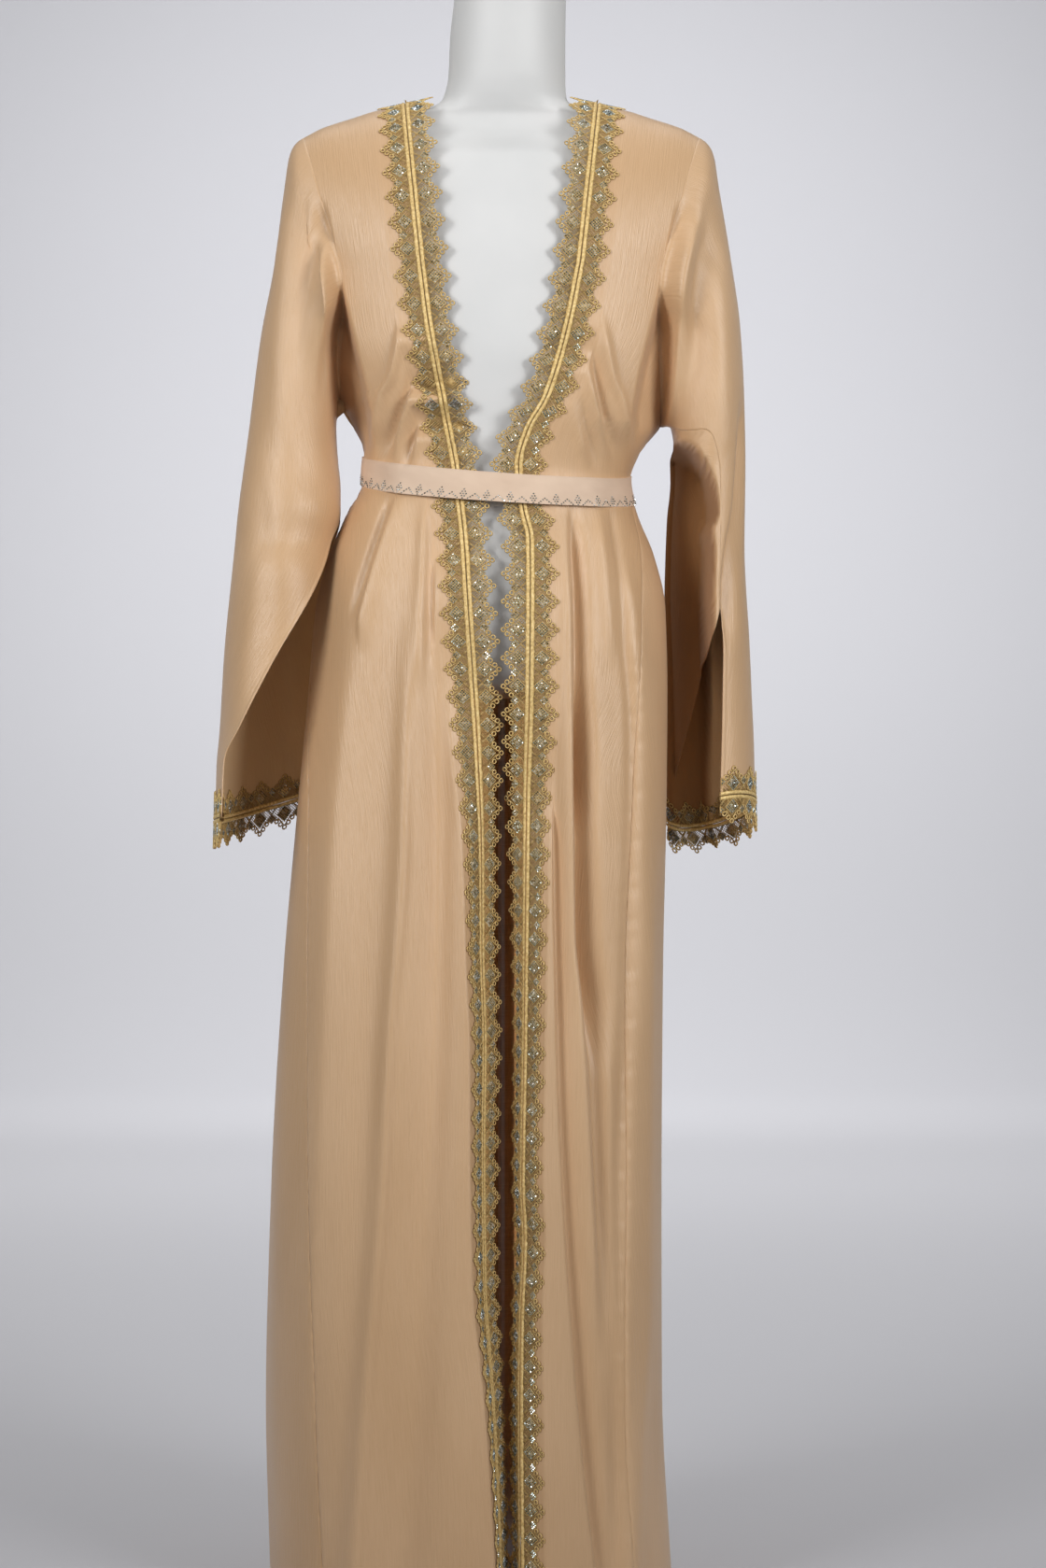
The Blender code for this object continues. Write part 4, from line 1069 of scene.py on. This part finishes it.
def on_band(flat, points, normals, length):
    """Flat places (s, t, height) in metres, moved onto the band's grid."""
    rows, columns = points.shape[:2]
    i = np.clip(flat[:, 0] / length, 0.0, 1.0) * (rows - 1)
    j = np.clip((flat[:, 1] + LACE_REACH) / (2.0 * LACE_REACH), 0.0, 1.0) * (columns - 1)
    i0 = np.clip(i.astype(int), 0, rows - 2)
    j0 = np.clip(j.astype(int), 0, columns - 2)
    a, b = (i - i0)[:, None], (j - j0)[:, None]

    def mix(grid):
        low = grid[i0, j0] * (1 - b) + grid[i0, j0 + 1] * b
        high = grid[i0 + 1, j0] * (1 - b) + grid[i0 + 1, j0 + 1] * b
        return low * (1 - a) + high * a

    return mix(points) + unit(mix(normals)) * (flat[:, 2:3] + LACE_BASE)


def add_lace(name, cloth, bend, centre, materials, inner_face=False):
    """Band of lace along the first line of these points of cloth, whose outer side faces away from this
    centre. Its attribute gives each point's height above the cloth in millimetres, which the gold turns into
    painted shade low down."""
    points, normals, repeats, length = band_grid(cloth, bend, centre)
    pitch = length / repeats
    motif, faces, slots = lace_motif(pitch * 1000.0, inner_face)
    flat, faces = repeated(motif, faces, repeats, pitch)
    slots = np.tile(slots, repeats)
    middle = HALF_STEPS
    across, along = points[1, middle + 1] - points[1, middle], points[2, middle] - points[1, middle]
    if np.dot(np.cross(along, across), normals[1, middle]) < 0.0:
        faces = [face[::-1] for face in faces]
    place = on_band(flat, points, normals, length)
    obj = mesh_object("guipure_" + name, place, faces, materials, slots, slots == 0)
    height = flat[:, 2] * 1000.0
    height = np.where(height < -INNER_DEPTH, -height - INNER_DEPTH, abs(height))
    raised = obj.data.attributes.new("raised", "FLOAT", "POINT")
    raised.data.foreach_set("value", height.astype(np.float32))
    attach(obj, "root")
    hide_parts("lace_" + name)
    return obj


def front_lace(side, materials):
    row, u = np.meshgrid(body_rows(), np.linspace(0.0, STRIP_U, 7), indexing="ij")
    z = height_at(body_rows())
    first = 1 if side < 0 else 3
    bend = np.radians(column(ROLL, first + 1, z) - column(ROLL, first, z))
    return add_lace("front_" + SIDES[side], front(side, u, row), bend, (0.0, 0.3, 0.6), materials)


def neck_lace(materials):
    across, rows = np.linspace(NECK_T, 1.0 - NECK_T, 120), np.linspace(0.0, 0.6, 16)
    t, row = np.meshgrid(across, rows, indexing="ij")
    return add_lace("back_neck", back(t, row), np.zeros(len(t)), (0.0, 0.0, 0.0), materials)


def cuff_lace(side, materials):
    points = sleeve_grid(side)[0]
    cloth = points[::-1][:24].swapaxes(0, 1)
    centre = points[-1].mean(axis=0)
    return add_lace("cuff_" + SIDES[side], cloth, np.zeros(len(cloth)), centre, materials, True)


# Belt. Its stones lie in heaps with chevrons between them, in millimetres from its lower edge
HEAP = (
    (0.0, 0.8), (-1.35, 2.9), (1.35, 2.9), (-2.7, 5.0), (0.0, 5.0), (2.7, 5.0), (-1.35, 7.1), (1.35, 7.1),
    (0.0, 9.2),
)
CHEVRON = ((11.2, 5.4), (9.2, 3.9), (13.2, 3.9), (7.2, 2.3), (15.2, 2.3), (5.2, 0.9), (17.2, 0.9))


def belt_height(angle):
    return BELT_Z - BELT_DROP[0] * np.cos(angle) - BELT_DROP[1] * np.sin(angle)


def belt_surface(share, angle, out=0.0):
    """Point of the belt. share runs from -0.5 at its lower edge to 0.5."""
    z = belt_height(angle) + share * BELT_WIDTH
    lift = 0.0013 + 0.0035 * ease((1.05 - np.abs(angle)) / 0.35)
    crown = 0.0009 * (1.0 - (2.0 * share) ** 2)
    return section(angle, z, lift + crown + out)


def add_belt(cloth_material):
    edge = np.array([-0.5, -0.49, -0.47, -0.44])
    share = np.concatenate([edge, np.linspace(-0.4, 0.4, 9), -edge[::-1]])
    share, angle = np.meshgrid(share, np.linspace(-math.pi, math.pi, 420), indexing="ij")
    hem = hem_shape((0.5 - np.abs(share)) * BELT_WIDTH, 0.0012, 0.0003)
    points = belt_surface(share, angle, hem)
    centre = np.array([0.0, 0.0, 1.07])
    belt = add_cloth("belt_band", points, centre, [cloth_material], 0, BELT_WALL)
    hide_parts("belt")
    return belt


def add_belt_stones(material):
    turn = np.linspace(-math.pi, math.pi, 2001)
    length = run_lengths(belt_surface(np.full(len(turn), -0.5), turn), 0)
    repeats = round(length[-1] / BELT_PITCH)
    motif, faces = joined([stone(place, 0.8, 0.0, 0.7 * k) for k, place in enumerate(HEAP + CHEVRON)])
    flat, faces = repeated(motif, faces, repeats, length[-1] / repeats)
    around = np.interp(flat[:, 0] % length[-1], length, turn)
    place = belt_surface(-0.5 + flat[:, 1] / BELT_WIDTH, around, flat[:, 2] + 0.0003)
    stones = mesh_object("belt_stones", place, faces, [material], smooth=False)
    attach(stones, "root")
    return stones


# Form: heights between which its rings are evenly spaced, and how many there are from each to the next
FORM_STEPS = ((0.862, 6), (0.885, 69), (1.375, 41), (1.46, 13), (1.54, 0))


def add_form(material):
    spans = zip(FORM_STEPS, FORM_STEPS[1:])
    z = np.concatenate([np.linspace(low, high, count + 1)[:-1] for (low, count), (high, _) in spans])
    z = np.append(z, FORM_STEPS[-1][0])
    angle = np.linspace(0.0, 2.0 * math.pi, 97)[None]
    middle, half, front_y, back_y = (column(FORM, k, z)[:, None] for k in range(1, 5))
    x = middle + half * np.sin(angle)
    y = -np.where(np.cos(angle) > 0.0, front_y, back_y) * np.cos(angle)
    points = np.stack(np.broadcast_arrays(x, y, z[:, None]), axis=-1)[:, :-1]
    rows, columns = points.shape[:2]
    last = (rows - 1) * columns
    caps = [list(range(columns))[::-1], list(range(last, last + columns))]
    obj = mesh_object("form_body", points.reshape(-1, 3), tube_faces(rows, columns) + caps, [material])
    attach(obj, "root")
    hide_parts("form_torso")
    return obj


# Colours of the painted shade in the left sleeve's recess, of the painted shade low in the lace's gaps, of
# its gold, of its stones with painted glints, and of the rest
# Painted shade: a dark colour for the shadowed recess of the left sleeve
RECESS_PAINTED_SHADE = (0.36, 0.180, 0.065)
# Painted shade: dark colour for the low parts of the lace, where shade falls between threads
LACE_GAP_PAINTED_SHADE = (0.36, 0.205, 0.065)
GOLD = ((0.30, (0.56, 0.37, 0.13)), (0.55, (0.85, 0.62, 0.26)), (0.75, (0.97, 0.78, 0.41)))
# Stones: grey-green tones of their own, with near-black and white cells as painted reflections and glints of
# their facets
STONE_TONES_AND_GLINTS = (
    (0.0, (0.025, 0.035, 0.035)),
    (0.25, (0.10, 0.135, 0.13)),
    (0.50, (0.23, 0.29, 0.28)),
    (0.75, (0.42, 0.50, 0.52)),
    (0.92, (0.95, 0.98, 1.0)),
)
PEACH = ((0.3, (0.70, 0.52, 0.385)), (0.7, (0.77, 0.585, 0.44)))
WHITE = ((0.3, (0.705, 0.71, 0.705)), (0.7, (0.75, 0.75, 0.745)))
STEEL = ((0.3, (0.47, 0.47, 0.48)), (0.7, (0.60, 0.60, 0.61)))
BACKDROP = (0.60, 0.60, 0.63)


# Material helpers
def new_material(name, roughness, metallic=0.0, specular=0.5):
    material = bpy.data.materials.new(name)
    material.use_nodes = True
    shader = material.node_tree.nodes["Principled BSDF"]
    shader.inputs["Roughness"].default_value = roughness
    shader.inputs["Metallic"].default_value = metallic
    shader.inputs["Specular IOR Level"].default_value = specular
    return material, material.node_tree, shader


def attribute_node(tree, name):
    node = tree.nodes.new("ShaderNodeAttribute")
    node.attribute_name = name
    return node


def object_place(tree):
    return tree.nodes.new("ShaderNodeTexCoord").outputs["Object"]


def scaled(tree, source, scale):
    mapping = tree.nodes.new("ShaderNodeMapping")
    mapping.inputs["Scale"].default_value = scale
    tree.links.new(source, mapping.inputs["Vector"])
    return mapping.outputs["Vector"]


def noise(tree, vector, scale, detail=2.0, roughness=0.5):
    node = tree.nodes.new("ShaderNodeTexNoise")
    node.inputs["Scale"].default_value = scale
    node.inputs["Detail"].default_value = detail
    node.inputs["Roughness"].default_value = roughness
    tree.links.new(vector, node.inputs["Vector"])
    return node.outputs["Fac"]


def ramp(tree, factor, stops):
    node = tree.nodes.new("ShaderNodeValToRGB")
    elements = node.color_ramp.elements
    while len(elements) < len(stops):
        elements.new(0.5)
    for element, (position, colour) in zip(elements, stops):
        element.position = position
        element.color = (*colour, 1.0)
    tree.links.new(factor, node.inputs["Fac"])
    return node.outputs["Color"]


def mixed(tree, factor, first, second):
    """Colour from the first to the second by this factor. One of the two is a fixed colour."""
    node = tree.nodes.new("ShaderNodeMix")
    node.data_type = "RGBA"
    tree.links.new(factor, node.inputs["Factor"])
    for name, colour in (("A", first), ("B", second)):
        if isinstance(colour, tuple):
            node.inputs[name].default_value = (*colour, 1.0)
        else:
            tree.links.new(colour, node.inputs[name])
    return node.outputs["Result"]


def ranged(tree, value, **limits):
    node = tree.nodes.new("ShaderNodeMapRange")
    for name, limit in limits.items():
        node.inputs[name.replace("_", " ")].default_value = limit
    tree.links.new(value, node.inputs["Value"])
    return node.outputs["Result"]


def bump(tree, height, strength, distance, before=None):
    node = tree.nodes.new("ShaderNodeBump")
    node.inputs["Strength"].default_value = strength
    node.inputs["Distance"].default_value = distance
    tree.links.new(height, node.inputs["Height"])
    if before is not None:
        tree.links.new(before, node.inputs["Normal"])
    return node.outputs["Normal"]


def dress(tree, shader, colour, normal=None):
    tree.links.new(colour, shader.inputs["Base Color"])
    if normal is not None:
        tree.links.new(normal, shader.inputs["Normal"])


# Materials
def cloth_material(name, dark, light, roughness, specular, sheen, crinkle):
    """Satin crepe between two tones, a little darker in the valleys of its ribs as painted shade, with
    painted shade where its attribute says so, which stands in for the shadow in the left sleeve's recess.
    """
    material, tree, shader = new_material(name, roughness, specular=specular)
    place = attribute_node(tree, "cloth").outputs["Vector"]
    ribs = noise(tree, scaled(tree, place, (760.0, 26.0, 0.0)), 1.0, 3.0, 0.6)
    weave = noise(tree, scaled(tree, place, (2600.0, 2600.0, 0.0)), 1.0, 1.0)
    clouds = noise(tree, scaled(tree, place, (9.0, 3.0, 0.0)), 1.0, 2.0)
    # The colour is darker in the valleys of the ribs as painted shade in the crinkle, and varies at random
    # with the clouds.
    tone = tree.nodes.new("ShaderNodeMath")
    tone.operation = "MULTIPLY_ADD"
    tone.inputs[1].default_value = 0.5
    tree.links.new(ribs, tone.inputs[0])
    tree.links.new(clouds, tone.inputs[2])
    layer = tree.nodes.new("ShaderNodeSeparateXYZ")
    tree.links.new(place, layer.inputs["Vector"])
    # Its third value mixes in the painted shade of the left sleeve's recess
    painted_shade = layer.outputs["Z"]
    satin = ramp(tree, tone.outputs["Value"], ((0.45, dark), (1.05, light)))
    normal = bump(tree, weave, 0.25, 0.0002, bump(tree, ribs, crinkle, 0.0009))
    dress(tree, shader, mixed(tree, painted_shade, satin, RECESS_PAINTED_SHADE), normal)
    rough = ranged(tree, painted_shade, To_Min=roughness, To_Max=0.85)
    tree.links.new(rough, shader.inputs["Roughness"])
    shader.inputs["Sheen Weight"].default_value = sheen
    shader.inputs["Sheen Roughness"].default_value = 0.4
    return material


def lace_material():
    """Gold thread with painted shade: dark low down in the gaps between the threads, full gold on their
    raised crests.
    """
    material, tree, shader = new_material("gold_lace_thread", 0.5, 0.12, 0.45)
    place = object_place(tree)
    gold = ramp(tree, noise(tree, place, 420.0, 3.0), GOLD)
    # Painted shade by height: low places take the dark colour, raised crests the gold
    crest = ranged(tree, attribute_node(tree, "raised").outputs["Fac"], From_Min=0.1, From_Max=0.8)
    twist = noise(tree, place, 2200.0, 1.0)
    dress(tree, shader, mixed(tree, crest, LACE_GAP_PAINTED_SHADE, gold), bump(tree, twist, 0.6, 0.0003))
    return material


def stone_material():
    material, tree, shader = new_material("small_stones", 0.14, 0.55, 0.8)
    cells = tree.nodes.new("ShaderNodeTexVoronoi")
    cells.inputs["Scale"].default_value = 640.0
    tree.links.new(object_place(tree), cells.inputs["Vector"])
    split = tree.nodes.new("ShaderNodeSeparateColor")
    tree.links.new(cells.outputs["Color"], split.inputs["Color"])
    # Each cell takes a tone, partly the stones' grey-green and partly painted glint or dark reflection
    dress(tree, shader, ramp(tree, split.outputs["Red"], STONE_TONES_AND_GLINTS))
    return material


def belt_material():
    material, tree, shader = new_material("belt_peach_cloth", 0.72, specular=0.3)
    place = attribute_node(tree, "cloth").outputs["Vector"]
    weave = noise(tree, scaled(tree, place, (1900.0, 1900.0, 1.0)), 1.0)
    clouds = noise(tree, scaled(tree, place, (30.0, 60.0, 1.0)), 1.0)
    dress(tree, shader, ramp(tree, clouds, PEACH), bump(tree, weave, 0.4, 0.0003))
    shader.inputs["Sheen Weight"].default_value = 0.2
    return material


def form_material():
    material, tree, shader = new_material("matte_white_form", 0.5, specular=0.4)
    place = object_place(tree)
    mottle, grain = noise(tree, place, 14.0, 3.0), noise(tree, place, 900.0)
    dress(tree, shader, ramp(tree, mottle, WHITE), bump(tree, grain, 0.12, 0.0003))
    return material


def metal_material():
    material, tree, shader = new_material("brushed_stand_steel", 0.34, 1.0)
    brush = noise(tree, scaled(tree, object_place(tree), (60.0, 60.0, 2400.0)), 1.0)
    dress(tree, shader, ramp(tree, brush, STEEL), bump(tree, brush, 0.15, 0.0002))
    return material


# Lights: name, place, target, width and length, watts, spread in degrees
LIGHTS = (
    ("key", (-1.8, -2.1, 1.8), (0.0, 0.0, 1.12), (1.0, 1.4), 5.9, 62.0),
    ("fill", (1.9, -2.3, 1.7), (0.0, 0.0, 1.12), (1.0, 1.4), 7.0, 62.0),
    ("top", (0.0, -0.3, 3.2), (0.0, 0.0, 1.0), (1.6, 1.2), 6.5, 180.0),
    ("backdrop_wash", (0.0, 3.4, 3.6), (0.0, 7.6, 1.64), (4.0, 1.0), 97.0, 115.0),
    ("near_floor_wash", (0.0, 1.2, 3.6), (0.0, 1.2, 0.0), (1.6, 4.0), 15.0, 85.0),
    ("far_floor_wash", (0.0, 3.8, 3.6), (0.0, 3.8, 0.0), (1.6, 4.0), 32.0, 85.0),
)
GLOW = ("glow_through_cloth", (0.0, 0.05, 0.45), (0.0, 0.12, 0.45), (0.02, 0.8), 0.2, 180.0)
GLOW_COLOUR = (1.0, 0.7, 0.45)
WORLD_STRENGTH = 0.18


# Stage, lights and camera
def add_stage():
    """Pale floor that curves up into a plain backdrop."""
    turn = np.linspace(0.0, math.pi / 2.0, 25)
    radius, start = 2.4, 5.2
    y = np.concatenate([[-6.0, -2.0, 0.0], start + radius * np.sin(turn), [start + radius]])
    z = np.concatenate([[0.0, 0.0, 0.0], radius * (1.0 - np.cos(turn)), [9.0]])
    x = np.linspace(-7.0, 7.0, 15)
    points = np.stack(np.broadcast_arrays(x[None], y[:, None], z[:, None] - 0.0005), axis=-1)
    material, tree, shader = new_material("backdrop_paper", 0.9, specular=0.1)
    shader.inputs["Base Color"].default_value = (*BACKDROP, 1.0)
    faces = grid_faces(len(y), len(x))
    floor = mesh_object("backdrop", points.reshape(-1, 3), faces.tolist(), [material])


def add_light(name, place, target, size, power, spread, colour=(1.0, 1.0, 1.0)):
    data = bpy.data.lights.new(name, "AREA")
    data.shape = "RECTANGLE"
    data.size, data.size_y = size
    data.energy = power
    data.color = colour
    data.spread = math.radians(spread)
    light = bpy.data.objects.new(name, data)
    bpy.context.scene.collection.objects.link(light)
    across = np.array(target) - np.array(place)
    yaw = math.atan2(across[1], across[0]) - math.pi / 2.0
    pitch = math.atan2(across[2], math.hypot(across[0], across[1])) + math.pi / 2.0
    light.location = place
    light.rotation_euler = (pitch, 0.0, yaw)
    return light


def add_lights():
    for row in LIGHTS:
        add_light(*row)
    glow = add_light(*GLOW, colour=GLOW_COLOUR)
    glow.visible_camera = False
    world = bpy.data.worlds.new("studio")
    world.use_nodes = True
    background = world.node_tree.nodes["Background"]
    background.inputs["Color"].default_value = (1.0, 1.0, 1.0, 1.0)
    background.inputs["Strength"].default_value = WORLD_STRENGTH
    bpy.context.scene.world = world


def add_camera():
    data = bpy.data.cameras.new("camera")
    data.sensor_fit = "AUTO"
    data.sensor_width = 36.0
    data.lens = 76.16
    camera = bpy.data.objects.new("camera", data)
    camera.location = (0.0207, -3.2, 0.78)
    camera.rotation_euler = (math.pi / 2.0, 0.0, 0.0)
    bpy.context.scene.collection.objects.link(camera)
    bpy.context.scene.camera = camera


def add_stand(steel):
    for node in ("form_neck_cap", "stand_pole", "stand_base"):
        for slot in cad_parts[node].material_slots:
            slot.material = steel


def add_back_pieces(satin, lace):
    panel = add_back(satin)
    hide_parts("back")
    neck = neck_lace(lace)


def add_side_pieces(side, satin, lace):
    """A front and a sleeve, each with its lace."""
    name = SIDES[side]
    panel = add_front(side, satin)
    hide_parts("front_" + name)
    trim = front_lace(side, lace)
    piece = add_sleeve(side, satin)
    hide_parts("sleeve_" + name)
    cuff = cuff_lace(side, lace)


def build():
    face = cloth_material(
        "satin_crepe_cloth", (0.60, 0.376, 0.198), (0.71, 0.47, 0.272),
        roughness=0.37, specular=0.60, sheen=0.2, crinkle=0.6,
    )
    # Inside of the cloth: matte, and lighter than the face as painted light standing in for light that comes
    # through the thin cloth
    reverse_with_painted_light = cloth_material(
        "satin_crepe_reverse_painted_light", (0.64, 0.440, 0.240), (0.74, 0.530, 0.310),
        roughness=0.60, specular=0.45, sheen=0.10, crinkle=0.6,
    )
    satin = [face, reverse_with_painted_light]
    gold, stones = lace_material(), stone_material()
    add_camera()
    add_form(form_material())
    add_stand(metal_material())
    belt = add_belt(belt_material())
    belt_stones = add_belt_stones(stones)
    add_back_pieces(satin, [gold, stones])
    for side in SIDES:
        add_side_pieces(side, satin, [gold, stones])
    add_stage()
    add_lights()
    bpy.context.scene.view_settings.view_transform = "Standard"


build()
